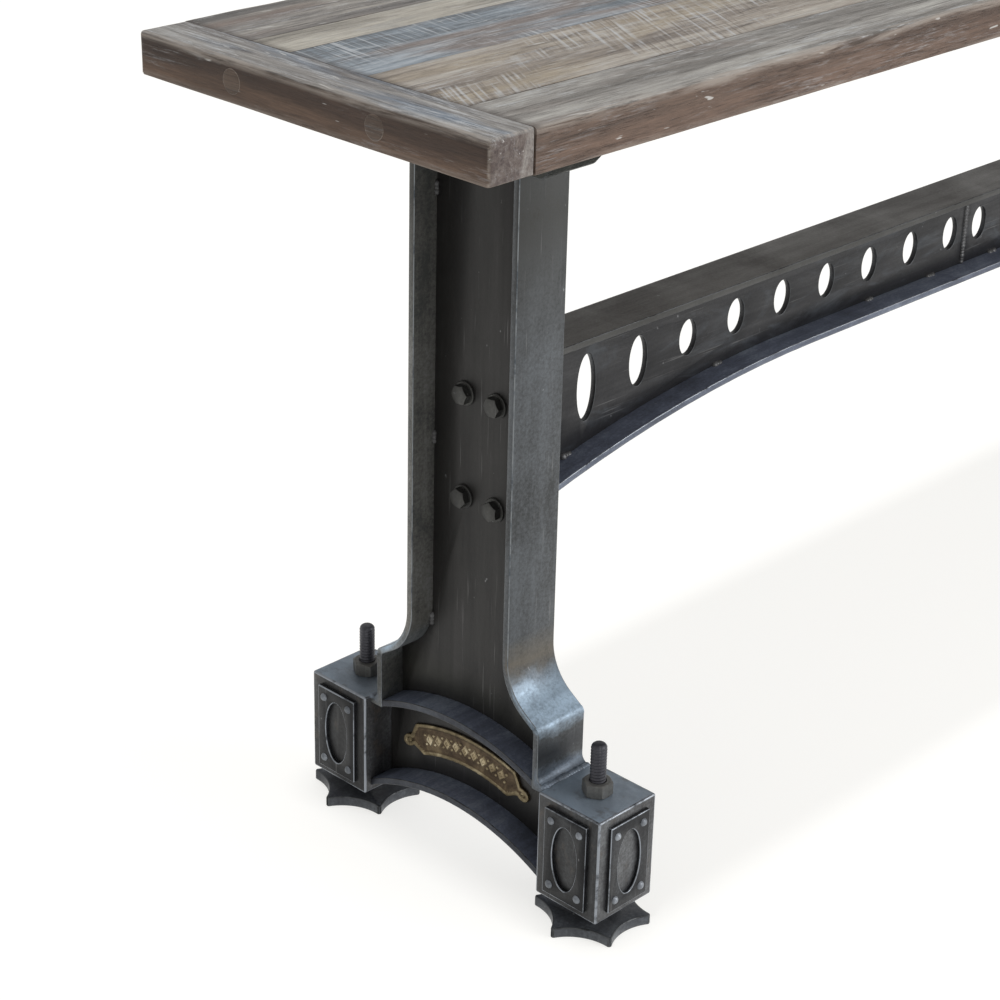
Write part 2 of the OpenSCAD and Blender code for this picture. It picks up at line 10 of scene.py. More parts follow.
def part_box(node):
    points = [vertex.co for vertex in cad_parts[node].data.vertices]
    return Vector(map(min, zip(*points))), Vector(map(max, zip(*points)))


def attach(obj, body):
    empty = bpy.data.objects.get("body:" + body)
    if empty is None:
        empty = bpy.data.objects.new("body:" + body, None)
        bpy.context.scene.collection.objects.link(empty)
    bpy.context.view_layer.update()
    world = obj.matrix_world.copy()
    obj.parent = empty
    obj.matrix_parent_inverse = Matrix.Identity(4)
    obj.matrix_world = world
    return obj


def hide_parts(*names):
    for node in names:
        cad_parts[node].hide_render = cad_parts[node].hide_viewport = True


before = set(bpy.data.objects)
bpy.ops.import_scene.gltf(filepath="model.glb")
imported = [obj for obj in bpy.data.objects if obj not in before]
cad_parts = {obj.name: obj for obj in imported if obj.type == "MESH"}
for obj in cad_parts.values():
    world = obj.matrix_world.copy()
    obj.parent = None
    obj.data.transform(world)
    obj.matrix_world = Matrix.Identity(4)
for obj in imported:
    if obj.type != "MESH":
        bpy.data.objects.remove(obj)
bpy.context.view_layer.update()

# ---- sizes, in metres ----

LEFT, RIGHT = -1, 1
FRONT, REAR = -1, 1
LEGS = {"left": LEFT, "right": RIGHT}
CORNERS = {
    "front_left": (LEFT, FRONT),
    "front_right": (RIGHT, FRONT),
    "rear_left": (LEFT, REAR),
    "rear_right": (RIGHT, REAR),
}
MM = 0.001


def middle(node):
    low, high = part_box(node)
    return (low + high) / 2


rod_low, rod_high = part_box("foot_rod_front_left")
nut_low, nut_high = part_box("top_nut_front_left")
thin_low, thin_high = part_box("thin_nut_front_left")
block_low, block_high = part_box("foot_block_front_left")
web_low, web_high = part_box("post_web_left")
arch_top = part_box("rail_arch_left")[1].z
washer_low, washer_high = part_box("bolt_washers")

leg_x = abs(middle("post_web_left").x)
foot_y = abs(middle("foot_rod_front_left").y)
rod_r = (rod_high.x - rod_low.x) / 2
block_w = block_high.x - block_low.x
block_top = block_high.z
web_t = web_high.x - web_low.x
thread_pitch = 3 * MM
board_middle_z = middle("end_board_left").z
nut_af = nut_high.y - nut_low.y
bolt_af = 16 * MM
bolt_head_h = 6.5 * MM
washer_bore_r, washer_r, washer_t = 5.2 * MM, 11 * MM, 2.5 * MM


# ---- finishes ----

def shade(red, green, blue, alpha=1.0):
    """A screen colour, 0 to 255, as the linear colour that a shader takes."""
    def linear(c):
        c = c / 255
        return c / 12.92 if c <= 0.04045 else ((c + 0.055) / 1.055) ** 2.4
    return (linear(red), linear(green), linear(blue), alpha)


class Finish:
    """A material that is put together step by step from its pattern nodes."""

    def __init__(self, name):
        self.material = bpy.data.materials.new(name)
        self.material.use_nodes = True
        self.tree = self.material.node_tree
        self.tree.nodes.clear()
        self.place = self.add("ShaderNodeTexCoord").outputs["Object"]

    def add(self, kind, values=(), **settings):
        node = self.tree.nodes.new(kind)
        for key, value in settings.items():
            setattr(node, key, value)
        for key, value in dict(values).items():
            if isinstance(value, bpy.types.NodeSocket):
                self.tree.links.new(value, node.inputs[key])
            else:
                node.inputs[key].default_value = value
        return node

    def stretched(self, scale, turn=0.0, shift=(0, 0, 0)):
        """Object coordinates, scaled along each axis and turned about Z."""
        turned = self.place
        if turn:
            turned = self.add("ShaderNodeMapping", {"Vector": turned, "Rotation": (0, 0, turn)}).outputs[0]
        moves = {"Vector": turned, "Scale": scale, "Location": shift}
        return self.add("ShaderNodeMapping", moves).outputs[0]

    def noise(self, scale, detail=4.0, rough=0.55, turn=0.0, shift=(0, 0, 0), warp=0.0):
        """Soft noise from 0 to 1; scale is the number of waves in a metre along each axis."""
        return self.add("ShaderNodeTexNoise", {
            "Vector": self.stretched(scale, turn, shift), "Scale": 1.0, "Detail": detail,
            "Roughness": rough, "Distortion": warp}).outputs[0]

    def math(self, operation, a, b=0.0):
        return self.add("ShaderNodeMath", {0: a, 1: b}, operation=operation).outputs[0]

    def times(self, a, b):
        return self.math("MULTIPLY", a, b)

    def plus(self, a, b):
        return self.math("ADD", a, b)

    def between(self, value, low, high, to_low=0.0, to_high=1.0):
        return self.add("ShaderNodeMapRange", {
            "Value": value, "From Min": low, "From Max": high,
            "To Min": to_low, "To Max": to_high}).outputs[0]

    def colours(self, value, stops):
        node = self.add("ShaderNodeValToRGB", {"Fac": value})
        ramp = node.color_ramp
        while len(ramp.elements) < len(stops):
            ramp.elements.new(0.5)
        for element, (position, colour) in zip(ramp.elements, stops):
            element.position = position
            element.color = colour
        return node.outputs[0]

    def tones(self, level, low, high, three):
        """Three tones, dark to light, spread over the levels from low to high."""
        return self.colours(self.between(level, low, high), list(zip((0.0, 0.5, 1.0), three)))

    def over(self, amount, below, above, blend="MIX"):
        node = self.add("ShaderNodeMix", {0: amount, 6: below, 7: above},
                        data_type="RGBA", blend_type=blend)
        return node.outputs[2]

    def dimmed(self, colour, factor):
        """The colour with its brightness multiplied by a factor."""
        grey = self.add("ShaderNodeCombineXYZ", {0: factor, 1: factor, 2: factor}).outputs[0]
        return self.over(1.0, colour, grey, "MULTIPLY")

    def attribute(self, name):
        return self.add("ShaderNodeAttribute", attribute_name=name).outputs["Fac"]

    def axis(self, kind, letter):
        """One coordinate of the place, or of the way the surface faces."""
        source = self.place if kind == "place" else self.add("ShaderNodeTexCoord").outputs["Normal"]
        return self.add("ShaderNodeSeparateXYZ", {0: source}).outputs[letter]

    def done(self, colour, rough, metal=0.0, height=None, depth=0.2 * MM, gloss=0.5):
        shader = self.add("ShaderNodeBsdfPrincipled", {
            "Base Color": colour, "Roughness": rough, "Metallic": metal,
            "Specular IOR Level": gloss})
        if height is not None:
            bump = self.add("ShaderNodeBump", {"Height": height, "Strength": 1.0, "Distance": depth})
            self.tree.links.new(bump.outputs[0], shader.inputs["Normal"])
        output = self.add("ShaderNodeOutputMaterial")
        self.tree.links.new(shader.outputs[0], output.inputs[0])
        return self.material


def old_wood(name, along, top_tones, patch, side_tones, wash=0.5, saw_marks=0.0, saw_turn=0.2,
             end_tones=None, seed=0.0):
    """Weathered board: streaked tones, patches of another hue, pale wash in the grain, saw marks."""
    f = Finish(name)
    turn = 0.0 if along == "X" else math.pi / 2
    shift = (seed * 3.7, seed * 1.9, seed * 5.3)

    def grain(lengthways, across, detail=5.0, rough=0.6, extra=0.0, warp=0.0):
        moved = (shift[0] + extra, shift[1] + extra, shift[2])
        return f.noise((lengthways, across, across), detail, rough, turn, moved, warp)

    broad = grain(2.6, 24, 6, 0.66, warp=0.9)
    medium = grain(8, 130, 7, 0.75, 2.3, warp=0.6)
    fine = grain(34, 640, 6, 0.8, 4.1)
    fibre = grain(42, 1500, 3, 0.6, 7.7)
    level = f.plus(f.times(broad, 0.55), f.times(medium, 0.45))
    upward = f.between(f.axis("facing", "Z"), 0.40, 0.80)

    # the top: three measured tones, and patches of a second hue
    top = f.tones(level, 0.42, 0.59, top_tones)
    patches = f.between(grain(2.6, 15, 4, 0.6, 21.0, warp=0.9), 0.50, 0.62)
    top = f.over(f.times(patches, 0.8), top, patch)

    # the sides: darker above, tanner below, with a wandering border between them
    wander = f.times(f.between(broad, 0.3, 0.7, -1, 1), 9 * MM)
    height_z = f.plus(f.axis("place", "Z"), wander)
    above = f.between(height_z, board_middle_z - 3 * MM, board_middle_z + 4 * MM)
    side = f.over(above, side_tones[1], side_tones[0])
    shading = f.colours(f.between(level, 0.40, 0.60), [(0.0, shade(186, 182, 180)), (1.0, (1, 1, 1, 1))])
    side = f.over(1.0, side, shading, "MULTIPLY")
    if end_tones:
        cross = f.math("ABSOLUTE", f.axis("facing", "Y"))
        grown = f.noise((30, 55, 14), 6, 0.75, shift=shift, warp=0.8)
        ends = f.tones(grown, 0.36, 0.64, end_tones)
        side = f.over(f.between(cross, 0.5, 0.8), side, ends)
    colour = f.over(upward, side, top)

    # fibres, light and dark, and fine cracks
    colour = f.dimmed(colour, f.between(fine, 0.36, 0.64, 0.74, 1.26))
    cracks = f.between(f.times(fibre, medium), 0.19, 0.13)
    colour = f.over(f.times(cracks, 0.45), colour, shade(52, 44, 41))

    # pale wash that stayed in patches and in the open grain
    stayed = f.between(grain(5.5, 34, 6, 0.75, 11.0, warp=1.2), 0.47, 0.58)
    threads = f.between(grain(34, 480, 5, 0.8, 13.0), 0.50, 0.60)
    washed = f.times(f.times(stayed, threads), f.between(upward, 0, 1, 0.3, 1.0))
    colour = f.over(f.times(washed, wash), colour, pale_wash)

    # short bright scuffs
    scuffs = f.between(f.noise((26, 210, 210), 2, 0.5, turn + 0.14, shift), 0.70, 0.745)
    colour = f.over(f.times(scuffs, 0.75), colour, shade(190, 189, 186))

    height = f.plus(f.times(fine, 0.5), f.times(medium, 0.6))
    height = f.math("SUBTRACT", height, f.times(cracks, 0.5))
    if saw_marks:
        lines = f.noise((380, 10, 10), 2, 0.5, turn + saw_turn, shift)
        where = f.between(f.noise((6.5, 15, 15), 3, 0.5, turn, shift), 0.49, 0.57)
        pale_lines = f.times(f.between(lines, 0.55, 0.63), f.times(where, upward))
        colour = f.over(f.times(pale_lines, saw_marks), colour, pale_wash)
        deep_lines = f.times(f.between(lines, 0.45, 0.36), f.times(where, upward))
        colour = f.over(f.times(deep_lines, saw_marks * 0.6), colour, shade(84, 76, 72))
        height = f.math("SUBTRACT", height, f.times(deep_lines, 0.4))

    # rubbed outer edges, and dirt in the seams
    rubbed = f.times(f.attribute("rubbed"), f.between(medium, 0.42, 0.58, 0.1, 0.75))
    if end_tones:
        rubbed = f.times(rubbed, f.between(cross, 0.5, 0.8, 1.0, 0.3))
    colour = f.over(rubbed, colour, shade(148, 140, 132))
    dirt = f.times(f.attribute("dirt"), f.between(upward, 0, 1, 0.2, 0.6))
    colour = f.over(dirt, colour, shade(60, 52, 48))
    return f.done(colour, f.between(medium, 0.3, 0.7, 0.52, 0.70), 0.0, height, 0.6 * MM, gloss=0.3)


def black_steel(name, *tones, up=None, painted_shade_x=1.0, painted_shade_y=1.0, painted_shade_back=1.0, bands=(), outer=0,
                mottle=1.0, streak=0.35, rust=0.0, oxide=None, run="Z"):
    """Blackened steel: three cloudy tones, fine mottle, rubbed streaks and tinted bands.

    up is a painted highlight: the tone of faces that look upwards, lighter in place of sheen from
    above. painted_shade_x and painted_shade_y paint shade: they darken faces that look along X or Y, and
    painted_shade_back those that look along +Y only, in place of shade from the lamps. A band is (start,
    peak, end, colour, amount), with its heights in metres. With outer at 1 or -1, bands are strong only on
    faces that look that way along Y, or up, so they paint highlight and shade by facing. oxide is a tint
    that gathers in patches, and run is the axis that the rubbed streaks follow.
    """
    f = Finish(name)
    clouds = f.noise((11, 11, 8), 6, 0.62, warp=0.8)
    speckle = f.noise((360, 360, 360), 5, 0.72)
    wiped = f.noise((85, 85, 5) if run == "Z" else (6, 120, 120), 5, 0.65, shift=(3, 1, 2))
    level = f.plus(f.times(clouds, 1.0 - streak), f.times(wiped, streak))
    grain = f.times(f.between(speckle, 0, 1, -0.5, 0.5), 0.5 * mottle)
    level = f.plus(level, grain)
    colour = f.tones(level, 0.36, 0.66, tones)
    # painted highlight: faces that look up take a lighter tone, in place of sheen from above
    if up:
        amount = f.between(f.axis("facing", "Z"), 0.35, 0.8)
        patchy = f.between(clouds, 0.36, 0.62, 0.45, 1.0)
        colour = f.over(f.times(amount, patchy), colour, up)
    # painted shade: faces that look along X or Y are darkened in the colour itself
    for letter, least in (("X", painted_shade_x), ("Y", painted_shade_y)):
        if least != 1.0:
            across = f.math("ABSOLUTE", f.axis("facing", letter))
            colour = f.dimmed(colour, f.between(across, 0.5, 0.9, 1.0, least))
    # painted shade on faces that look along +Y
    if painted_shade_back != 1.0:
        colour = f.dimmed(colour, f.between(f.axis("facing", "Y"), 0.3, 0.8, 1.0, painted_shade_back))
    if oxide:
        gathered = f.between(f.noise((9, 30, 26), 6, 0.7, shift=(7, 2, 9), warp=1.0), 0.52, 0.66)
        colour = f.over(f.times(gathered, 0.75), colour, oxide)
    if bands:
        uneven = f.noise((30, 30, 60), 5, 0.7, shift=(2, 6, 4), warp=0.5)
        height_z = f.plus(f.axis("place", "Z"), f.between(uneven, 0.3, 0.7, -5 * MM, 5 * MM))
        # painted highlight and shade: each band is strong on faces that look out along Y or up, and weak on
        # faces turned away, following the facing rather than the lamps
        lit_facing = 1.0
        if outer:
            aside = f.plus(f.times(f.axis("facing", "Y"), outer), f.axis("facing", "Z"))
            lit_facing = f.between(aside, -0.1, 0.25, 0.2, 1.0)
        for start, peak, end, tint, amount in bands:
            band = f.math("MINIMUM", f.between(height_z, start, peak), f.between(height_z, end, peak))
            band = f.times(band, lit_facing)
            band = f.times(band, f.between(level, 0.34, 0.58, 0.55, 1.0))
            colour = f.over(f.times(band, amount), colour, tint)
    if rust:
        spots = f.between(f.noise((55, 55, 40), 5, 0.7, shift=(9, 4, 1)), 0.56, 0.68)
        colour = f.over(f.times(spots, rust), colour, shade(84, 76, 68))
    fine_line = (420, 420, 14) if run == "Z" else (14, 420, 420)
    scratches = f.between(f.noise(fine_line, 3, 0.5, shift=(5, 5, 5)), 0.66, 0.74)
    colour = f.over(f.times(scratches, 0.25), colour, shade(140, 140, 140))
    nicks = f.between(f.noise((130, 130, 90), 2, 0.5, turn=0.7, shift=(1, 8, 3)), 0.74, 0.78)
    colour = f.over(f.times(nicks, 0.5), colour, shade(150, 152, 154))
    rough = f.between(level, 0.3, 0.7, 0.52, 0.34)
    pits = f.plus(f.times(speckle, 0.6), f.times(clouds, 0.8))
    return f.done(colour, rough, 0.45, pits, 0.18 * MM)


def worn_edge(name, bright, dull):
    """An edge where handling has rubbed the blacking away in places."""
    f = Finish(name)
    patches = f.noise((38, 38, 38), 5, 0.7, warp=0.5)
    colour = f.colours(f.between(patches, 0.36, 0.60), [(0.0, dull), (0.55, bright), (1.0, bright)])
    return f.done(colour, f.between(patches, 0.3, 0.7, 0.5, 0.33), 0.9, patches, 0.1 * MM)


def aged_brass(name, *tones):
    """Brass with cloudy tarnish, from three tones."""
    f = Finish(name)
    clouds = f.noise((60, 60, 60), 5, 0.65, warp=0.7)
    fine = f.noise((700, 700, 700), 3, 0.6)
    level = f.plus(f.times(clouds, 0.8), f.times(fine, 0.2))
    colour = f.tones(level, 0.34, 0.66, tones)
    return f.done(colour, f.between(level, 0.3, 0.7, 0.55, 0.38), 0.85, level, 0.15 * MM)


pale_wash = shade(184, 187, 190)
brown_side = (shade(66, 52, 44), shade(92, 74, 62))
# lighter side tones for the front border plank: painted light, standing in for its front face being lit more
# than the board ends
front_side_lit = (shade(104, 86, 75), shade(112, 92, 80))
grown_ends = (shade(60, 48, 48), shade(80, 68, 65), shade(140, 136, 132))
rear_border_tones = (shade(92, 90, 88), shade(118, 114, 111), shade(150, 146, 139))
rear_inner_tones = (shade(132, 128, 120), shade(156, 151, 142), shade(172, 168, 158))
middle_tones = (shade(102, 110, 117), shade(126, 135, 143), shade(154, 161, 168))
front_inner_tones = (shade(114, 106, 99), shade(144, 136, 127), shade(168, 162, 153))
front_border_tones = (shade(112, 109, 105), shade(137, 134, 130), shade(162, 160, 155))
end_board_tones = (shade(104, 101, 100), shade(130, 127, 124), shade(156, 154, 151))
blue_patch = shade(106, 118, 132)
brown_patch = shade(118, 106, 99)
tan_patch = shade(152, 141, 124)
grey_patch = shade(146, 145, 142)

wood_finish = {
    "border_plank_rear": old_wood("rear border wood", "X", rear_border_tones, brown_patch,
                                  brown_side, 0.55, seed=1.0),
    "inner_plank_rear": old_wood("rear inner wood", "X", rear_inner_tones, grey_patch,
                                 brown_side, 0.35, seed=5.0),
    "inner_plank_middle": old_wood("middle inner wood", "X", middle_tones, brown_patch,
                                   brown_side, 0.65, 0.7, 0.12, seed=4.0),
    "inner_plank_front": old_wood("front inner wood", "X", front_inner_tones, tan_patch,
                                  brown_side, 0.55, 0.6, 0.5, seed=3.0),
    "border_plank_front": old_wood("front border wood", "X", front_border_tones, brown_patch,
                                   front_side_lit, 0.7, seed=2.0),
    "end_board_left": old_wood("left end board wood", "Y", end_board_tones, blue_patch,
                               brown_side, 0.75, end_tones=grown_ends, seed=6.0),
    "end_board_right": old_wood("right end board wood", "Y", end_board_tones, blue_patch,
                                brown_side, 0.75, end_tones=grown_ends, seed=7.0),
}
plug_side = (shade(88, 74, 64), shade(92, 78, 68))
plug_finish = old_wood("plug wood", "Y", front_inner_tones, brown_patch, plug_side, 0.4, seed=8.0)

# heights at which a flange changes colour
drop_foot, drop_top = 0.128, 0.172
slope_top = 0.205
weld_top = 0.137
flange_bands = (
    (weld_top, 0.150, drop_top, shade(44, 46, 50), 1.0),
    (drop_foot - 0.02, drop_foot + 0.003, weld_top + 0.004, shade(112, 124, 138), 0.9),
    # painted highlight: a bright blue-white band on the sloping flare, in place of sheen from above
    (drop_top - 4 * MM, 0.186, 0.218, shade(168, 190, 210), 1.0),
    (slope_top + 4 * MM, 0.226, 0.252, shade(104, 95, 80), 0.6),
    (0.50, 0.63, 0.90, shade(40, 39, 35), 0.9),
)
web_foot_band = (0.13, 0.16, 0.19, shade(58, 58, 52), 0.5)
web_steel = black_steel(
    "web steel", shade(34, 33, 33), shade(40, 39, 38), shade(47, 45, 45),
    mottle=0.35, streak=0.6, bands=(web_foot_band,))
# front flange: its bright flare band is a painted highlight, strongest on faces that look towards -Y or up
flange_steel = black_steel(
    "flange steel", shade(52, 54, 55), shade(71, 74, 77), shade(84, 88, 92),
    bands=flange_bands, outer=FRONT, mottle=1.4)
# painted light: the rear flanges take a lighter copy of the flange finish, to brighten faces towards -Y that
# the front post shades, and painted shade darkens their faces that look along +Y
rear_flange_lit_steel = black_steel(
    "rear flange lit steel", shade(74, 76, 75), shade(104, 104, 101), shade(124, 125, 124),
    bands=flange_bands, outer=REAR, mottle=1.2, painted_shade_back=0.4)
# painted shade on faces that look along X, and less on those that look along Y
arch_steel = black_steel(
    "arch steel", shade(78, 83, 95), shade(101, 108, 125), shade(136, 145, 160),
    painted_shade_y=0.75, painted_shade_x=0.2, mottle=0.7, run="X")
# painted highlight on the block tops and painted shade on faces that look along X
block_steel = black_steel(
    "block steel", shade(54, 54, 56), shade(82, 83, 85), shade(114, 117, 120),
    up=shade(144, 159, 174), painted_shade_x=0.28, rust=0.5)
# painted shade on faces that look along X
panel_steel = black_steel(
    "panel steel", shade(21, 22, 25), shade(30, 31, 34), shade(58, 61, 65), painted_shade_x=0.5, mottle=0.9)
# painted shade on faces that look along Y
top_flange_steel = black_steel(
    "stretcher top steel", shade(77, 76, 74), shade(95, 95, 93), shade(110, 110, 108),
    painted_shade_y=0.42, mottle=0.7, run="X")
stretcher_steel = black_steel(
    "stretcher web steel", shade(27, 27, 29), shade(36, 36, 38), shade(49, 49, 51),
    mottle=0.7, streak=0.5, run="X", oxide=shade(64, 68, 73))
saddle_steel = black_steel("saddle steel", shade(42, 44, 41), shade(60, 61, 57), shade(82, 83, 78))
# painted shade on faces that look along X
pad_steel = black_steel(
    "pad steel", shade(52, 54, 60), shade(72, 75, 80), shade(100, 105, 111), painted_shade_x=0.75, mottle=0.8)
rod_steel = black_steel(
    "rod steel", shade(44, 44, 50), shade(64, 64, 70), shade(94, 94, 100), mottle=0.4)
nut_steel = black_steel(
    "nut steel", shade(82, 82, 80), shade(108, 108, 106), shade(136, 136, 134), mottle=0.6, rust=0.3)
bolt_steel = black_steel(
    "bolt steel", shade(44, 44, 43), shade(58, 58, 56), shade(78, 78, 76), mottle=0.6)
# painted shade on faces that look along X
rivet_steel = black_steel(
    "rivet steel", shade(88, 92, 98), shade(126, 131, 138), shade(172, 178, 186),
    mottle=0.5, painted_shade_x=0.7)
weld_steel = black_steel(
    "weld steel", shade(84, 90, 98), shade(112, 122, 134), shade(150, 164, 180), mottle=0.7)
soot_weld = black_steel(
    "sooty weld steel", shade(50, 50, 51), shade(70, 70, 71), shade(98, 99, 101), mottle=0.7)
pale_edge = worn_edge("worn flange edge", shade(122, 126, 129), shade(78, 84, 90))
cool_edge = worn_edge("worn block edge", shade(142, 147, 154), shade(66, 68, 72))
dark_edge = worn_edge("eased dark edge", shade(80, 82, 84), shade(44, 45, 46))
brass_field = aged_brass("brass field", shade(56, 46, 37), shade(82, 69, 54), shade(108, 94, 72))
brass_raised = aged_brass("rubbed brass", shade(90, 80, 61), shade(118, 106, 82), shade(162, 150, 122))
brass_bright = aged_brass("bright brass", shade(122, 108, 84), shade(158, 144, 116), shade(200, 188, 160))
bare_screw = black_steel("wood screw steel", shade(70, 70, 70), shade(98, 98, 98), shade(128, 128, 128))


# ---- making pieces ----

def new_object(name, mesh):
    made = bpy.data.objects.new(name, mesh)
    bpy.context.scene.collection.objects.link(made)
    return made


def mesh_from(name, points, faces, materials=()):
    mesh = bpy.data.meshes.new(name)
    mesh.from_pydata([tuple(p) for p in points], [], faces)
    mesh.update()
    for material in materials:
        mesh.materials.append(material)
    return mesh


def smooth(mesh, angle=35.0):
    mesh.polygons.foreach_set("use_smooth", [True] * len(mesh.polygons))
    mesh.set_sharp_from_angle(angle=math.radians(angle))
    return mesh


def face_outwards(mesh, merge=0.0):
    """Turns every face outwards, after merging points closer than merge."""
    form = bmesh.new()
    form.from_mesh(mesh)
    if merge:
        bmesh.ops.remove_doubles(form, verts=form.verts, dist=merge)
    bmesh.ops.recalc_face_normals(form, faces=form.faces)
    form.to_mesh(mesh)
    form.free()
    return mesh


def closed_form(name, points, faces, materials=()):
    return face_outwards(mesh_from(name, points, faces, materials), 0.001 * MM)


def finished_mesh(made):
    """The object's mesh with its modifiers applied."""
    bpy.context.view_layer.update()
    seen = made.evaluated_get(bpy.context.evaluated_depsgraph_get())
    return bpy.data.meshes.new_from_object(seen)


def place_on(made, body, slot, *nodes):
    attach(made, body)
    if nodes:
        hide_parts(*nodes)
    return made


def eased_copy(name, node, body, slot, faces, edges, ease=0.7 * MM, corner=32.0, least=1.2 * MM):
    """A copy of a CAD piece whose sharp, long edges are eased and carry a worn finish."""
    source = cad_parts[node].data
    form = bmesh.new()
    form.from_mesh(source)
    bmesh.ops.remove_doubles(form, verts=form.verts, dist=0.01 * MM)
    bmesh.ops.dissolve_limit(form, angle_limit=math.radians(0.4), verts=form.verts, edges=form.edges)
    weight = form.edges.layers.float.new("bevel_weight_edge")
    for edge in form.edges:
        if len(edge.link_faces) == 2 and edge.calc_face_angle() > math.radians(corner):
            edge[weight] = float(edge.calc_length() > least)
            edge.smooth = edge[weight] > 0.5
    mesh = bpy.data.meshes.new(name)
    form.to_mesh(mesh)
    form.free()
    mesh.materials.clear()
    mesh.materials.append(faces)
    mesh.materials.append(edges)
    mesh.polygons.foreach_set("material_index", [0] * len(mesh.polygons))
    mesh.polygons.foreach_set("use_smooth", [True] * len(mesh.polygons))
    rough = new_object(name + "_rough", mesh)
    bevel = rough.modifiers.new("ease", "BEVEL")
    bevel.width = ease
    bevel.segments = 2
    bevel.limit_method = "WEIGHT"
    bevel.use_clamp_overlap = False
    bevel.material = 1
    bevel.harden_normals = True
    made = new_object(name, finished_mesh(rough))
    bpy.data.objects.remove(rough)
    return place_on(made, body, slot, node)


# ---- planks and end boards ----

def board_section(half_w, half_t, corners, steps=4, across=9):
    """Points round a board's section: (across, up, rubbed, dirt); corners are radii with their wear."""
    centres = [(1, 1), (-1, 1), (-1, -1), (1, -1)]
    points = []
    for i, (sx, sy) in enumerate(centres):
        r, rubbed, dirt = corners[i]
        for k in range(steps + 1):
            a = math.pi / 2 * (i + k / steps)
            across_a = sx * (half_w - r) + r * math.cos(a)
            up_a = sy * (half_t - r) + r * math.sin(a)
            points.append((across_a, up_a, rubbed, dirt))
        nxt = corners[(i + 1) % 4]
        count = across if i % 2 == 0 else 3
        start = points[-1]
        reach_w, reach_t = half_w - nxt[0], half_t - nxt[0]
        end = ((-reach_w, half_t), (-half_w, -reach_t), (reach_w, -half_t), (half_w, reach_t))[i]
        for k in range(1, count + 1):
            t = 0.5 - 0.5 * math.cos(math.pi * k / (count + 1))
            points.append((start[0] + (end[0] - start[0]) * t, start[1] + (end[1] - start[1]) * t, 0.0, 0.0))
    return points


def board(name, along, slot, outer_front=False, outer_rear=False, free_ends=False, seed=0.0, step=9 * MM):
    """A worn board: outer edges rounded unevenly, seams tight with eased corners."""
    low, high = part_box(name)
    centre = (low + high) / 2
    size = high - low
    length = size.x if along == "X" else size.y
    width = size.y if along == "X" else size.x
    gap = 0.05 * MM
    end_r = 4.2 * MM
    under_r, seam_r = 1.6 * MM, 0.35 * MM
    stations = [i * length / round(length / step) for i in range(round(length / step) + 1)]
    if free_ends:
        near_end = [0.4 * MM, 1.2 * MM, 2.4 * MM, 4.0 * MM]
        stations = sorted(set(stations) | set(near_end) | {length - e for e in near_end})
    points, rubbed, dirt = [], [], []
    for place in stations:
        wave = noise.noise(Vector((place * 26, seed * 9.1, 0.3)))
        nick = max(0.0, noise.noise(Vector((place * 75, seed * 4.7, 8.1))) - 0.38) * 6 * MM
        worn_r = (3.4 + 1.6 * wave) * MM + nick
        tight = (seam_r, 0.0, 0.25)
        front = (worn_r, 1.0, 0.0) if outer_front else tight
        rear = (worn_r * 0.9, 1.0, 0.0) if outer_rear else tight
        front_low = (under_r if outer_front else seam_r, 0.5 * outer_front, 0.0)
        rear_low = (under_r if outer_rear else seam_r, 0.5 * outer_rear, 0.0)
        half_w, half_t = width / 2, size.z / 2
        half_w -= gap if not (outer_front or outer_rear) else gap / 2
        section = board_section(half_w, half_t, [rear, front, front_low, rear_low])
        end_gap = end_r - min(place, length - place)
        inset = 0.0
        if free_ends and end_gap > 0:
            inset = end_r - math.sqrt(max(0.0, end_r ** 2 - end_gap ** 2))
        shift = 0.0
        if outer_front != outer_rear:
            shift = (gap / 2) * (-1 if outer_front else 1)
        for a, u, rub, dirty in section:
            a = a * (1 - inset / half_w) + shift
            u = u * (1 - inset / half_t)
            sink = 0.22 * MM * (1 + noise.noise(Vector((place * 11, a * 60 + seed, u * 40))))
            u -= math.copysign(sink, u) if abs(u) > half_t * 0.6 else 0.0
            if (outer_front or outer_rear) and abs(a) > half_w * 0.6:
                a -= math.copysign(sink, a)
            p = place - length / 2
            v = (p, a, u) if along == "X" else (-a, p, u)
            points.append(centre + Vector(v))
            end_rub = 1.0 if free_ends and end_gap > 0.6 * MM else 0.0
            end_dirt = 0.0 if free_ends else float(min(place, length - place) < 0.5 * MM)
            rubbed.append(max(rub, end_rub))
            dirt.append(max(dirty, end_dirt))
    count = len(section)
    faces = []
    for i in range(len(stations) - 1):
        for k in range(count):
            a, b = i * count + k, i * count + (k + 1) % count
            faces.append((a, b, b + count, a + count))
    faces.append(tuple(range(count - 1, -1, -1)))
    faces.append(tuple(range((len(stations) - 1) * count, len(stations) * count)))
    mesh = mesh_from(name + "_board", points, faces, [wood_finish[name]])
    for label, values in (("rubbed", rubbed), ("dirt", dirt)):
        mesh.attributes.new(label, "FLOAT", "POINT").data.foreach_set("value", values)
    face_outwards(mesh)
    return place_on(new_object(name + "_board", smooth(mesh, 50)), "frame", slot, name)


board("border_plank_front", "X", "wood_grey", outer_front=True, seed=1)
board("border_plank_rear", "X", "wood_grey", outer_rear=True, seed=2)
board("inner_plank_front", "X", "wood_brown", seed=3)
board("inner_plank_middle", "X", "wood_blue", seed=4)
board("inner_plank_rear", "X", "wood_tan", seed=5)
# an end board's section is drawn with its rear side towards -X
board("end_board_left", "Y", "wood_brown", outer_rear=True, free_ends=True, seed=6)
board("end_board_right", "Y", "wood_brown", outer_front=True, free_ends=True, seed=7)


# ---- what repeats: one tree sets a piece out on points ----

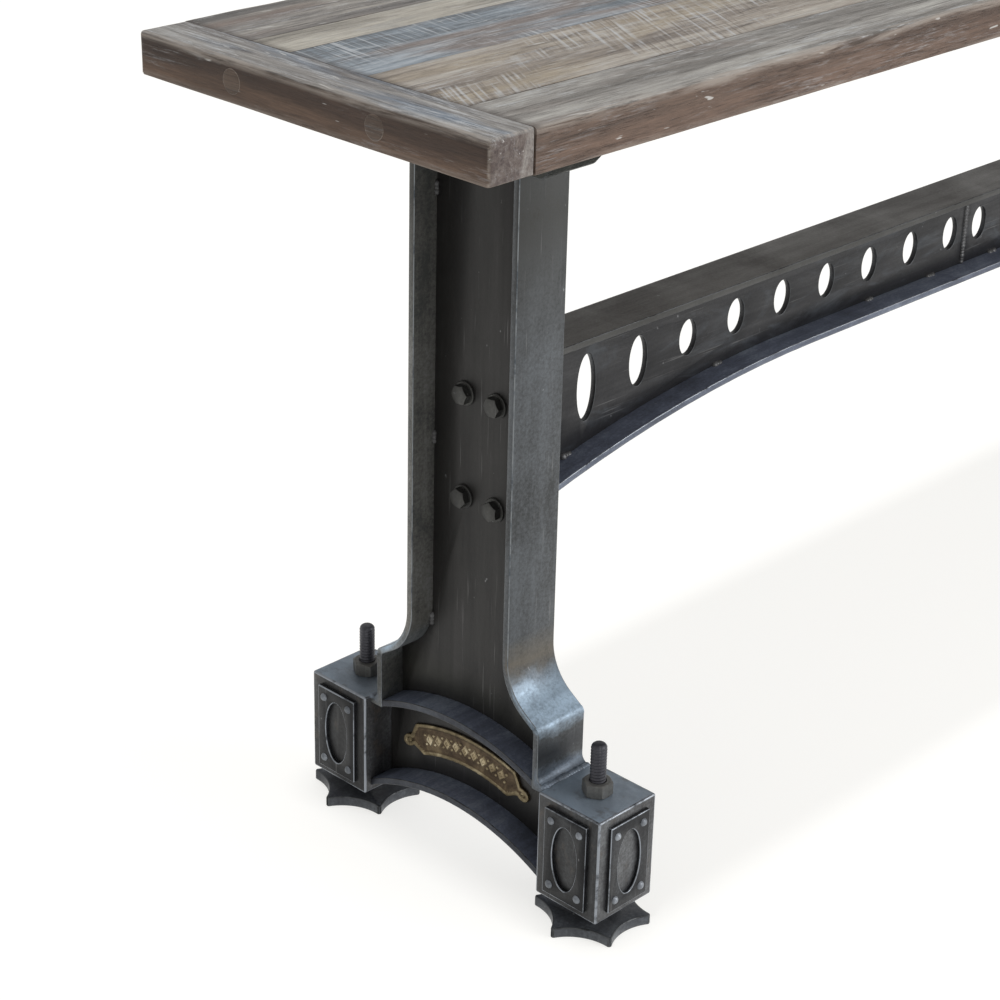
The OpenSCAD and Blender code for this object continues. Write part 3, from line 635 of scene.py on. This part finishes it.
def setting_out_tree():
    """Puts a piece on every point, aimed, sized and turned a little at random, with a finish."""
    tree = bpy.data.node_groups.new("set out pieces", "GeometryNodeTree")
    face = tree.interface
    for label, kind in (("Points", "NodeSocketGeometry"), ("Piece", "NodeSocketObject"),
                        ("Size", "NodeSocketFloat"), ("Unevenness", "NodeSocketFloat"),
                        ("Turn", "NodeSocketFloat"), ("Seed", "NodeSocketInt"),
                        ("Finish", "NodeSocketMaterial")):
        face.new_socket(label, in_out="INPUT", socket_type=kind)
    face.new_socket("Pieces", in_out="OUTPUT", socket_type="NodeSocketGeometry")
    n, link = tree.nodes, tree.links.new
    given, out = n.new("NodeGroupInput"), n.new("NodeGroupOutput")
    piece = n.new("GeometryNodeObjectInfo")
    link(given.outputs["Piece"], piece.inputs["Object"])
    aim = n.new("GeometryNodeInputNamedAttribute")
    aim.data_type = "FLOAT_VECTOR"
    aim.inputs["Name"].default_value = "aim"
    aimed = n.new("FunctionNodeEulerToRotation")
    link(aim.outputs["Attribute"], aimed.inputs[0])
    spin = n.new("FunctionNodeRandomValue")
    spin.data_type = "FLOAT"
    link(given.outputs["Turn"], spin.inputs[3])
    link(given.outputs["Seed"], spin.inputs["Seed"])
    turned = n.new("FunctionNodeAxisAngleToRotation")
    turned.inputs[0].default_value = (0, 0, 1)
    link(spin.outputs[1], turned.inputs[1])
    both = n.new("FunctionNodeRotateRotation")
    both.rotation_space = "LOCAL"
    link(aimed.outputs[0], both.inputs[0])
    link(turned.outputs[0], both.inputs[1])
    spread = n.new("FunctionNodeRandomValue")
    spread.data_type = "FLOAT"
    less, more = n.new("ShaderNodeMath"), n.new("ShaderNodeMath")
    less.operation, more.operation = "SUBTRACT", "ADD"
    less.inputs[0].default_value = more.inputs[0].default_value = 1.0
    link(given.outputs["Unevenness"], less.inputs[1])
    link(given.outputs["Unevenness"], more.inputs[1])
    link(less.outputs[0], spread.inputs[2])
    link(more.outputs[0], spread.inputs[3])
    link(given.outputs["Seed"], spread.inputs["Seed"])
    sized = n.new("ShaderNodeMath")
    sized.operation = "MULTIPLY"
    link(given.outputs["Size"], sized.inputs[0])
    link(spread.outputs[1], sized.inputs[1])
    put = n.new("GeometryNodeInstanceOnPoints")
    link(given.outputs["Points"], put.inputs["Points"])
    link(piece.outputs["Geometry"], put.inputs["Instance"])
    link(both.outputs[0], put.inputs["Rotation"])
    link(sized.outputs[0], put.inputs["Scale"])
    real = n.new("GeometryNodeRealizeInstances")
    link(put.outputs[0], real.inputs[0])
    coat = n.new("GeometryNodeSetMaterial")
    link(real.outputs[0], coat.inputs["Geometry"])
    link(given.outputs["Finish"], coat.inputs["Material"])
    link(coat.outputs[0], out.inputs[0])
    return tree


set_out = setting_out_tree()


def facing(direction, upright=(0, 0, 1)):
    """The turn that points a piece's Z along the direction, with its Y as near upright as it can be."""
    z = Vector(direction).normalized()
    up = Vector(upright)
    if abs(z.dot(up)) > 0.99:
        up = Vector((0, 1, 0))
    x = up.cross(z).normalized()
    y = z.cross(x)
    return Matrix((x, y, z)).transposed().to_euler()


def repeated(name, piece_mesh, spots, finish, body, slot, nodes=(), size=1.0, uneven=0.0, turn=0.0, seed=1):
    """One mesh of copies of a piece; spots are (place, aim)."""
    carrier_mesh = mesh_from(name + "_spots", [place for place, _ in spots], [])
    aims = [c for _, aim in spots for c in aim]
    carrier_mesh.attributes.new("aim", "FLOAT_VECTOR", "POINT").data.foreach_set("vector", aims)
    carrier = new_object(name + "_spots", carrier_mesh)
    piece = new_object(name + "_piece", piece_mesh)
    change = carrier.modifiers.new("set out", "NODES")
    change.node_group = set_out
    values = {"Piece": piece, "Size": size, "Unevenness": uneven, "Turn": turn, "Seed": seed,
              "Finish": finish}
    for item in set_out.interface.items_tree:
        if item.in_out == "INPUT" and item.name in values:
            change[item.identifier] = values[item.name]
    made = new_object(name, finished_mesh(carrier))
    bpy.data.objects.remove(carrier)
    bpy.data.objects.remove(piece)
    smooth(made.data, 38)
    return place_on(made, body, slot, *nodes)


# ---- small forms ----

def lathe(name, outline, segments=20):
    """A turned form about Z; the outline runs from the axis or bore, as (radius, height)."""
    points, faces, rings = [], [], []
    for radius, height in outline:
        if radius < 1e-7:
            rings.append([len(points)])
            points.append((0, 0, height))
        else:
            rings.append(list(range(len(points), len(points) + segments)))
            for k in range(segments):
                a = 2 * math.pi * k / segments
                points.append((radius * math.cos(a), radius * math.sin(a), height))
    for one, two in zip(rings, rings[1:]):
        for k in range(segments):
            a, b = one[k % len(one)], one[(k + 1) % len(one)]
            c, d = two[(k + 1) % len(two)], two[k % len(two)]
            face = tuple(dict.fromkeys((a, b, c, d)))
            if len(face) > 2:
                faces.append(face)
    return mesh_from(name, points, faces)


def hexagon_form(name, across, height, bore=0.0, both_ends=True, per_side=6):
    """A hexagonal nut or bolt head whose corners are turned off to a cone at its ends."""
    flat_r = across / 2
    turned_r = flat_r * 0.955
    slope = math.tan(math.radians(30))
    count = 6 * per_side
    rings = {"low": [], "side_low": [], "side_high": [], "high": [], "bore_high": [], "bore_low": []}
    lip = 0.06 * across
    for k in range(count):
        a = 2 * math.pi * k / count
        off = a % (math.pi / 3) - math.pi / 6
        r = flat_r / math.cos(off)
        cut = (r - turned_r) * slope
        way = Vector((math.cos(a), math.sin(a), 0))
        rings["side_high"].append(way * r + Vector((0, 0, height - cut)))
        rings["high"].append(way * turned_r + Vector((0, 0, height)))
        rings["side_low"].append(way * r + Vector((0, 0, cut if both_ends else 0)))
        rings["low"].append(way * (turned_r if both_ends else r))
        if bore:
            rings["bore_high"].append(way * bore + Vector((0, 0, height - lip * 0.5)))
            rings["bore_low"].append(way * bore + Vector((0, 0, lip * 0.5)))
    order = ["low", "side_low", "side_high", "high"]
    points = [p for key in order for p in rings[key]]
    faces = []

    def band(i, j):
        for k in range(count):
            nxt = (k + 1) % count
            faces.append((i * count + k, i * count + nxt, j * count + nxt, j * count + k))

    for i in range(3):
        band(i, i + 1)
    if bore:
        lip_low = [Vector((p.x, p.y, 0)).normalized() * (bore + lip * 0.5) for p in rings["high"]]
        lip_high = [p + Vector((0, 0, height)) for p in lip_low]
        points += lip_high + rings["bore_high"] + rings["bore_low"] + lip_low
        for i, j in ((3, 4), (4, 5), (5, 6), (6, 7), (7, 0)):
            band(i, j)
    else:
        faces.append(tuple(3 * count + k for k in range(count)))
        faces.append(tuple(reversed(range(count))))
    return closed_form(name, points, faces)


def threaded_rod(name, place, z_low, z_high, radius, pitch, segments=28):
    """A rod with a rolled thread that winds up as the piece turns left to right, and a domed tip."""
    depth = 0.55 * MM
    dome = 5 * MM
    per_turn = 6
    shape = [0.0, 0.15, 0.75, 1.0, 0.75, 0.15]
    rows = int((z_high - z_low) / pitch * per_turn)
    points, faces = [], []
    for i in range(rows + 1):
        for k in range(segments):
            turn = k / segments
            z = z_low + i * pitch / per_turn
            phase = (i / per_turn - turn) * per_turn
            j = math.floor(phase)
            t = phase - j
            lift = shape[j % per_turn] * (1 - t) + shape[(j + 1) % per_turn] * t
            r = radius - depth * (1 - lift)
            z = min(z, z_high)
            near_tip = z_high - z
            if near_tip < dome:
                r = min(r, radius * (0.3 + 0.7 * math.sqrt(max(0, 1 - (1 - near_tip / dome) ** 2))))
            a = 2 * math.pi * turn
            points.append((place.x + r * math.cos(a), place.y + r * math.sin(a), z))
    for i in range(rows):
        for k in range(segments):
            a, b = i * segments + k, i * segments + (k + 1) % segments
            faces.append((a, b, b + segments, a + segments))
    faces.append(tuple(reversed(range(segments))))
    faces.append(tuple(rows * segments + k for k in range(segments)))
    return smooth(closed_form(name, points, faces, [rod_steel]), 60)


# ---- steelwork ----

def frame_steel(node, slot, faces, edges, ease=0.7 * MM, least=1.2 * MM):
    eased_copy(f"{node}_steel", node, "frame", slot, faces, edges, ease, least=least)


for leg in LEGS:
    for part in ("saddle_plate", "saddle_web", "saddle_cradle"):
        frame_steel(f"{part}_{leg}", "steel_dark", saddle_steel, dark_edge)
    for part in ("post_web", "rail_web"):
        frame_steel(f"{part}_{leg}", "steel_dark", web_steel, dark_edge)
    for part in ("rail_rib", "rail_arch"):
        frame_steel(f"{part}_{leg}", "steel_blue", arch_steel, dark_edge, 0.8 * MM)
    for face, flange_finish in (("front", flange_steel), ("rear", rear_flange_lit_steel)):
        frame_steel(f"post_flange_{face}_{leg}", "steel_mid", flange_finish, pale_edge)
        frame_steel(f"foot_block_{face}_{leg}", "steel_blue", block_steel, cool_edge, 1.7 * MM, 6 * MM)
    frame_steel(f"stretcher_web_{leg}", "steel_dark", stretcher_steel, dark_edge, 0.6 * MM)
frame_steel("block_panels", "steel_mid", panel_steel, cool_edge, 0.8 * MM)
eased_copy("stretcher_top_steel", "stretcher_top_flange", "frame", "steel_mid", top_flange_steel,
           dark_edge, 0.6 * MM)
eased_copy("stretcher_arch_steel", "stretcher_arch_flange", "frame", "steel_blue", arch_steel,
           cool_edge, 0.8 * MM)
frame_steel("stretcher_end_plates", "steel_dark", stretcher_steel, dark_edge)

for corner, (side, face) in CORNERS.items():
    place = Vector((side * leg_x, face * foot_y, 0))
    eased_copy(f"star_pad_{corner}_steel", f"star_pad_{corner}", f"foot_{corner}", "steel_blue",
               pad_steel, dark_edge, 1.2 * MM, 24, least=0.0)
    rod = new_object(f"foot_rod_{corner}_steel",
                     threaded_rod(f"foot_rod_{corner}", place, rod_low.z, rod_high.z, rod_r, thread_pitch))
    place_on(rod, f"foot_{corner}", "steel_fastener", f"foot_rod_{corner}")
    for kind, low, high in (("top_nut", nut_low, nut_high), ("thin_nut", thin_low, thin_high)):
        form = hexagon_form(f"{kind}_{corner}_form", nut_af, high.z - low.z, rod_r + 0.05 * MM)
        form.transform(Matrix.Translation(place + Vector((0, 0, low.z))))
        form.materials.append(nut_steel)
        nut = new_object(f"{kind}_{corner}_steel", smooth(form, 25))
        place_on(nut, f"{kind}_{corner}", "steel_fastener", f"{kind}_{corner}")


# ---- fasteners ----

def in_mm(*outline):
    """An outline given in millimetres, as metres."""
    return [(radius * MM, height * MM) for radius, height in outline]


panel_proud = 4 * MM
rivet_x, rivet_z = 33 * MM, 65 * MM
rivet_spots = []
block_mid_z = (block_low.z + block_high.z) / 2
for side, face in CORNERS.values():
    for way in ((-1, 0), (1, 0), (0, face)):
        out = Vector((way[0], way[1], 0))
        sideways = Vector((out.y, -out.x, 0))
        base = Vector((side * leg_x, face * foot_y, block_mid_z)) + out * (block_w / 2 + panel_proud)
        for u in (-1, 1):
            for v in (-1, 1):
                spot = base + sideways * (u * rivet_x / 2) + Vector((0, 0, v * rivet_z / 2))
                rivet_spots.append((spot, facing(out)))
rivet_dome = in_mm((0, 2.75), (1.1, 2.6), (2.2, 2.1), (3.1, 1.3), (3.7, 0.4), (3.9, -0.3))
repeated("panel_rivet_heads", lathe("rivet form", rivet_dome, 14), rivet_spots, rivet_steel,
         "frame", "steel_fastener", ["panel_rivets"], uneven=0.06, turn=6.0, seed=4)

bolt_y = 38 * MM
bolt_heights = (washer_low.z + washer_r, washer_high.z - washer_r)
washer_spots, head_spots = [], []
for side in LEGS.values():
    out = Vector((side, 0, 0))
    for y in (-bolt_y / 2, bolt_y / 2):
        for z in bolt_heights:
            on_web = Vector((side * (leg_x + web_t / 2), y, z))
            washer_spots.append((on_web, facing(out)))
            head_spots.append((on_web + out * washer_t, facing(out)))
ease = 0.7 * MM
ring = [(washer_bore_r, 0.0), (washer_bore_r, washer_t), (washer_r - ease, washer_t),
        (washer_r, washer_t - ease), (washer_r, 0.0)]
repeated("bolt_washer_rings", lathe("washer form", ring, 36), washer_spots, bolt_steel,
         "frame", "steel_fastener", ["bolt_washers"], turn=6.0, seed=5)
repeated("stretcher_bolt_heads", hexagon_form("bolt form", bolt_af, bolt_head_h, both_ends=False),
         head_spots, bolt_steel, "frame", "steel_fastener", ["stretcher_bolts"], turn=3.0, seed=9)


def solids_of(node):
    """The box of each separate solid in a CAD node."""
    form = bmesh.new()
    form.from_mesh(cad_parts[node].data)
    bmesh.ops.remove_doubles(form, verts=form.verts, dist=0.01 * MM)
    waiting = set(form.verts)
    boxes = []
    while waiting:
        group, edge = [], [waiting.pop()]
        while edge:
            vert = edge.pop()
            group.append(vert.co.copy())
            for link in vert.link_edges:
                other = link.other_vert(vert)
                if other in waiting:
                    waiting.remove(other)
                    edge.append(other)
        low = Vector([min(c[i] for c in group) for i in range(3)])
        high = Vector([max(c[i] for c in group) for i in range(3)])
        boxes.append((low, high))
    form.free()
    return sorted(boxes, key=lambda box: tuple(box[0]))


def slotted_head(name, radius, height, slot_w, slot_d, columns=14, rows=14):
    """A domed screw head with a slot across it, closed underneath."""
    half = slot_w / 2
    outer = [half + (radius - half) * math.sin(math.pi / 2 * k / columns) for k in range(columns + 1)]
    xs = [-x for x in reversed(outer)] + [-half * 0.8, half * 0.8] + outer
    points, faces = [], []
    for i, x in enumerate(xs):
        reach_y = math.sqrt(max(0.0, radius ** 2 - x ** 2))
        in_slot = abs(x) < half * 0.9
        for j in range(rows + 1):
            y = -reach_y * math.cos(math.pi * j / rows)
            rise = height * math.sqrt(max(0.0, 1 - ((x * x + y * y) / radius ** 2) ** 1.3))
            points.append((x, y, min(rise, height - slot_d) if in_slot else rise))
    top = len(points)
    points += [(p[0], p[1], 0.0) for p in points]
    side = rows + 1
    for i in range(len(xs) - 1):
        for j in range(rows):
            a = i * side + j
            faces.append((a, a + side, a + side + 1, a + 1))
            faces.append((top + a, top + a + 1, top + a + side + 1, top + a + side))
        for j in (0, rows):
            a = i * side + j
            faces.append((a, a + side, top + a + side, top + a))
    return closed_form(name, points, faces)


shank_r, shank_l = 5 * MM, web_t + 10 * MM
shank = [(0.0, 0.0), (shank_r, 0.0), (shank_r, shank_l - 1.0 * MM),
         (shank_r - 0.8 * MM, shank_l), (0.0, shank_l)]
shank_spots = [(place, facing((-place.x, 0, 0))) for place, _ in washer_spots]
repeated("stretcher_bolt_shanks", lathe("shank form", shank, 24), shank_spots, bolt_steel,
         "frame", "steel_fastener", seed=3)

plate_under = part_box("saddle_plate_left")[0].z
wood_screw_spots = [(Vector((*((low + high) / 2).xy, plate_under)), facing((0, 0, -1)))
                    for low, high in solids_of("saddle_screws")]
repeated("saddle_screw_heads", slotted_head("screw form", 6 * MM, 3.4 * MM, 1.6 * MM, 1.5 * MM, 7, 8),
         wood_screw_spots, bare_screw, "frame", "steel_fastener", ["saddle_screws"], turn=6.0, seed=21)

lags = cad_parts["end_board_screws"].data
lags.materials.clear()
lags.materials.append(bare_screw)

plug_r, plug_l = 10.5 * MM, 12 * MM
plug_outline = [(0.0, plug_l), (plug_r * 0.5, plug_l - 0.05 * MM),
                (plug_r - 1.0 * MM, plug_l - 0.1 * MM), (plug_r - 0.45 * MM, plug_l - 0.25 * MM),
                (plug_r, plug_l - 0.8 * MM), (plug_r, 0.0), (0.0, 0.0)]
plug_form = lathe("plug form", plug_outline, 40)
rim = [float(math.hypot(v.co.x, v.co.y) > plug_r - 0.7 * MM) for v in plug_form.vertices]
plug_form.attributes.new("rubbed", "FLOAT", "POINT").data.foreach_set("value", rim)
plug_spots = []
for low, high in solids_of("wood_plugs"):
    centre = (low + high) / 2
    side = math.copysign(1, centre.x)
    plug_spots.append((Vector((centre.x - side * plug_l / 2, centre.y, centre.z)), facing((side, 0, 0))))
repeated("end_board_plugs", plug_form, plug_spots, plug_finish, "frame", "wood_brown",
         ["wood_plugs"], turn=6.0, seed=8)


# ---- brass plates ----

rail_face_x = leg_x + web_t / 2
brass_ground = 1.6 * MM
brass_r = 175 * MM
brass_half = 15.5 * MM
body_half = 68 * MM
shoulder_at = 60 * MM
lobe_at, lobe_long, lobe_wide = 75 * MM, 8 * MM, 6.2 * MM
arch_curve_z = arch_top - 234.4 * MM
brass_middle_r = 270.5 * MM
brass_lean = 10.5 * MM / brass_middle_r
curve_y = (brass_middle_r - brass_r) * math.sin(brass_lean)
curve_z = arch_curve_z + (brass_middle_r - brass_r) * math.cos(brass_lean)


def on_rail(side, along, across, rise):
    """A place on the rail's outer face, along and across the brass plate's curve."""
    angle = along / brass_r + brass_lean
    r = brass_r + across
    return Vector((side * (rail_face_x + rise), curve_y + r * math.sin(angle),
                   curve_z + r * math.cos(angle)))


def brass_breadth(along):
    """Half the plate's breadth: a straight body, sloping shoulders and a rounded lobe."""
    s = abs(along)
    shoulder = brass_half - max(0.0, s - shoulder_at) if s < body_half + 2 * MM else 0.0
    lobe = lobe_wide * math.sqrt(max(0.0, 1 - ((s - lobe_at) / lobe_long) ** 2))
    return max(shoulder, lobe)


def brass_plate():
    reach_s = lobe_at + lobe_long
    outline = []
    for i in range(361):
        s = -reach_s * math.cos(math.pi * i / 360)
        outline.append((s, brass_breadth(s)))
    rim_line = np.array(outline + [(s, -t) for s, t in outline])
    stations = 150
    rows = 26
    points, faces = [], []
    for side in LEGS.values():
        base = len(points)
        for i in range(stations + 1):
            v = 2 * i / stations - 1
            s = reach_s * (0.35 * math.sin(math.pi / 2 * v) + 0.65 * v)
            wide = brass_breadth(s)
            for j in range(rows + 1):
                u = 2 * j / rows - 1
                t = wide * (0.72 * math.sin(math.pi / 2 * u) + 0.28 * u)
                near = float(np.min(np.hypot(rim_line[:, 0] - s, rim_line[:, 1] - t)))
                near = 0.0 if j in (0, rows) or i in (0, stations) else near
                if near < 0.5 * MM:
                    rise = (2.0 + 2.0 * near / MM) * MM
                elif near < 3.4 * MM:
                    rise = 3.0 * MM
                elif near < 4.3 * MM:
                    rise = (3.0 - 1.3 * (near / MM - 3.4) / 0.9) * MM
                else:
                    rise = 1.7 * MM
                points.append(on_rail(side, s, t, rise))
        under = len(points)
        for i in range(stations + 1):
            for j in range(rows + 1):
                points.append(Vector((side * rail_face_x, *points[base + i * (rows + 1) + j].yz)))
        for i in range(stations):
            for j in range(rows):
                a = i * (rows + 1) + j
                faces.append((base + a, base + a + 1, base + a + rows + 2, base + a + rows + 1))
                faces.append((under + a, under + a + rows + 1, under + a + rows + 2, under + a + 1))
            for j in (0, rows):
                a = i * (rows + 1) + j
                faces.append((base + a, base + a + rows + 1, under + a + rows + 1, under + a))
    mesh = closed_form("brass_plate_form", points, faces, [brass_field, brass_raised])
    for polygon in mesh.polygons:
        out = [abs(mesh.vertices[v].co.x) for v in polygon.vertices]
        polygon.material_index = int(sum(out) / len(out) - rail_face_x > 2.3 * MM)
    return smooth(mesh, 50)


place_on(new_object("brass_plates_raised", brass_plate()), "frame", "brass", "brass_plates")


def lozenge(name, long, tall, rise):
    ring_out = [(long, 0, 0), (0, tall, 0), (-long, 0, 0), (0, -tall, 0)]
    ring_mid = [(x * 0.8, y * 0.8, rise * 0.8) for x, y, _ in ring_out]
    ring_in = [(x * 0.45, y * 0.45, rise) for x, y, _ in ring_out]
    dip = [(x * 0.28, y * 0.28, rise * 0.45) for x, y, _ in ring_out]
    points = ring_out + ring_mid + ring_in + dip
    faces = [(3, 2, 1, 0), (12, 13, 14, 15)]
    for k in range(3):
        for i in range(4):
            a, b = k * 4 + i, k * 4 + (i + 1) % 4
            faces.append((a, b, b + 4, a + 4))
    return closed_form(name, points, faces)


lozenge_gap = 11.6 * MM
lozenge_spots, bead_spots = [], []
for side in LEGS.values():
    for k in range(-4, 5):
        angle = k * lozenge_gap / brass_r + brass_lean
        upright = (0, math.sin(angle), math.cos(angle))
        spot = on_rail(side, k * lozenge_gap, 0, brass_ground)
        lozenge_spots.append((spot, facing((side, 0, 0), upright)))
    for k in range(-5, 5):
        for lift in (-4.4, 4.4):
            spot = on_rail(side, (k + 0.5) * lozenge_gap, lift * MM, brass_ground)
            bead_spots.append((spot, facing((side, 0, 0))))
repeated("brass_lozenges", lozenge("lozenge form", 5.3 * MM, 6.4 * MM, 1.3 * MM), lozenge_spots,
         brass_bright, "frame", "brass", uneven=0.04, seed=31)
bead = in_mm((0, 1.2), (0.8, 1.05), (1.4, 0.6), (1.6, 0), (0, 0))
repeated("brass_beads", lathe("bead form", bead, 12), bead_spots, brass_bright, "frame", "brass",
         uneven=0.08, seed=32)

brass_screw_spots = []
for low, high in solids_of("brass_plate_screws"):
    centre = (low + high) / 2
    side = math.copysign(1, centre.x)
    place = Vector((side * (rail_face_x + brass_ground), centre.y, centre.z))
    brass_screw_spots.append((place, facing((side, 0, 0))))
brass_screw = slotted_head("brass screw form", 2.9 * MM, 1.5 * MM, 0.8 * MM, 0.8 * MM, 6, 8)
repeated("brass_plate_screw_heads", brass_screw, brass_screw_spots, brass_raised, "frame", "brass",
         ["brass_plate_screws"], turn=6.0, seed=33)


# ---- welds ----

post_tack_heights = (0.624, 0.398, 0.219)
stretcher_tack_places = ((0.5965, 0.3675), (0.3915, 0.3985), (0.1575, 0.4025), (0.055, 0.4025))
flange_inner_y, drop_outer_y = 56.6 * MM, 109.2 * MM
drop_bead_count, drop_bead_gap = 19, 3.05 * MM
seam_bead_count, seam_bead_gap, seam_foot = 22, 3.5 * MM, 0.404
weld_drop = in_mm((0, 2.6), (1.6, 2.4), (3, 1.7), (4, 0.6), (4.3, -0.8))
tack_spots, bead_line, soot_line = [], [], []


def three_tacks(place, step, aim):
    for k in (-1, 0, 1):
        tack_spots.append((place + step * k, facing(aim)))


for side in LEGS.values():
    for face in (FRONT, REAR):
        for out in (1, -1):
            for z in post_tack_heights:
                place = Vector((side * leg_x + out * web_t / 2, face * flange_inner_y, z))
                three_tacks(place, Vector((0, 0, 3.6 * MM)), (out, -face, 0.15))
        for k in range(drop_bead_count):
            x = side * leg_x + (k - drop_bead_count // 2) * drop_bead_gap
            place = Vector((x, face * drop_outer_y, block_top - 0.2 * MM))
            bead_line.append((place, facing((0, face * 0.4, 1))))
for way in (-1, 1):
    for k in range(seam_bead_count):
        place = Vector((0, way * web_t / 2, seam_foot + k * seam_bead_gap))
        soot_line.append((place, facing((0, way, 0))))
    for x, z in stretcher_tack_places:
        for side in LEGS.values():
            three_tacks(Vector((side * x, way * web_t / 2, z)), Vector((3.4 * MM, 0, 0)), (0, way, 1))
repeated("weld_tacks", lathe("tack form", weld_drop, 10), tack_spots, soot_weld, "frame",
         "steel_mid", size=0.9, uneven=0.22, turn=6.0, seed=41)
repeated("drop_weld_beads", lathe("bead weld form", weld_drop, 10), bead_line, weld_steel, "frame",
         "steel_mid", size=0.78, uneven=0.16, turn=6.0, seed=42)
repeated("stretcher_seam_weld", lathe("seam weld form", weld_drop, 10), soot_line, soot_weld,
         "frame", "steel_mid", size=0.8, uneven=0.14, turn=6.0, seed=43)


# ---- camera, floor and light ----

turn_a, rise_a, roll_a = (math.radians(v) for v in (-45.992, 25.360, 1.3296))
back = Vector((math.sin(turn_a) * math.cos(rise_a), -math.cos(turn_a) * math.cos(rise_a), math.sin(rise_a)))
right = (-back).cross(Vector((0, 0, 1))).normalized()
up = right.cross(-back)
camera_x = math.cos(roll_a) * right + math.sin(roll_a) * up
camera_y = -math.sin(roll_a) * right + math.cos(roll_a) * up
camera = bpy.data.objects.new("camera", bpy.data.cameras.new("camera"))
bpy.context.scene.collection.objects.link(camera)
camera_turn = Matrix((camera_x, camera_y, back)).transposed().to_4x4()
camera.matrix_world = Matrix.Translation((-2.0733, -1.3495, 1.2687)) @ camera_turn
camera.data.sensor_width = 36
camera.data.lens = 89.04
camera.data.clip_start, camera.data.clip_end = 0.05, 100
bpy.context.scene.camera = camera

floor_finish = Finish("studio floor")
floor_tones = [(0.0, (0.90, 0.895, 0.875, 1)), (1.0, (0.93, 0.925, 0.905, 1))]
tint = floor_finish.colours(floor_finish.noise((0.8, 0.8, 0.8), 2), floor_tones)
lit = floor_finish.add("ShaderNodeBsdfDiffuse", {"Color": tint})
glow = floor_finish.add("ShaderNodeEmission", {"Color": tint, "Strength": 1.26})
weight = floor_finish.add("ShaderNodeMixShader", {0: 0.6, 1: lit.outputs[0], 2: glow.outputs[0]})
floor_finish.tree.links.new(weight.outputs[0], floor_finish.add("ShaderNodeOutputMaterial").inputs[0])
reach = 9.0
floor_corners = [(-reach, -reach, 0), (reach, -reach, 0), (reach, reach, 0), (-reach, reach, 0)]
floor = new_object("floor", mesh_from("floor", floor_corners, [(0, 1, 2, 3)], [floor_finish.material]))

world = bpy.data.worlds.new("studio")
bpy.context.scene.world = world
world.use_nodes = True
sky = world.node_tree.nodes["Background"].inputs
sky["Color"].default_value = (1.0, 0.99, 0.975, 1)
sky["Strength"].default_value = 0.60


def lamp(name, kind, energy, place, target, **settings):
    data = bpy.data.lights.new(name, kind)
    data.energy = energy
    for key, value in settings.items():
        setattr(data, key, value)
    made = bpy.data.objects.new(name, data)
    bpy.context.scene.collection.objects.link(made)
    made.location = place
    made.rotation_mode = "QUATERNION"
    made.rotation_quaternion = (Vector(target) - Vector(place)).to_track_quat("-Z", "Y")


lamp("overhead sun", "SUN", 1.25, (-0.63, 0, 3), (0, 0, 0), angle=math.radians(4.0))
lamp("front softbox", "AREA", 44, (0.6, -2.6, 1.3), (-0.4, 0, 0.4), shape="RECTANGLE", size=2.0,
     size_y=1.6)

bpy.context.scene.view_settings.view_transform = "Standard"
bpy.context.scene.view_settings.look = "None"
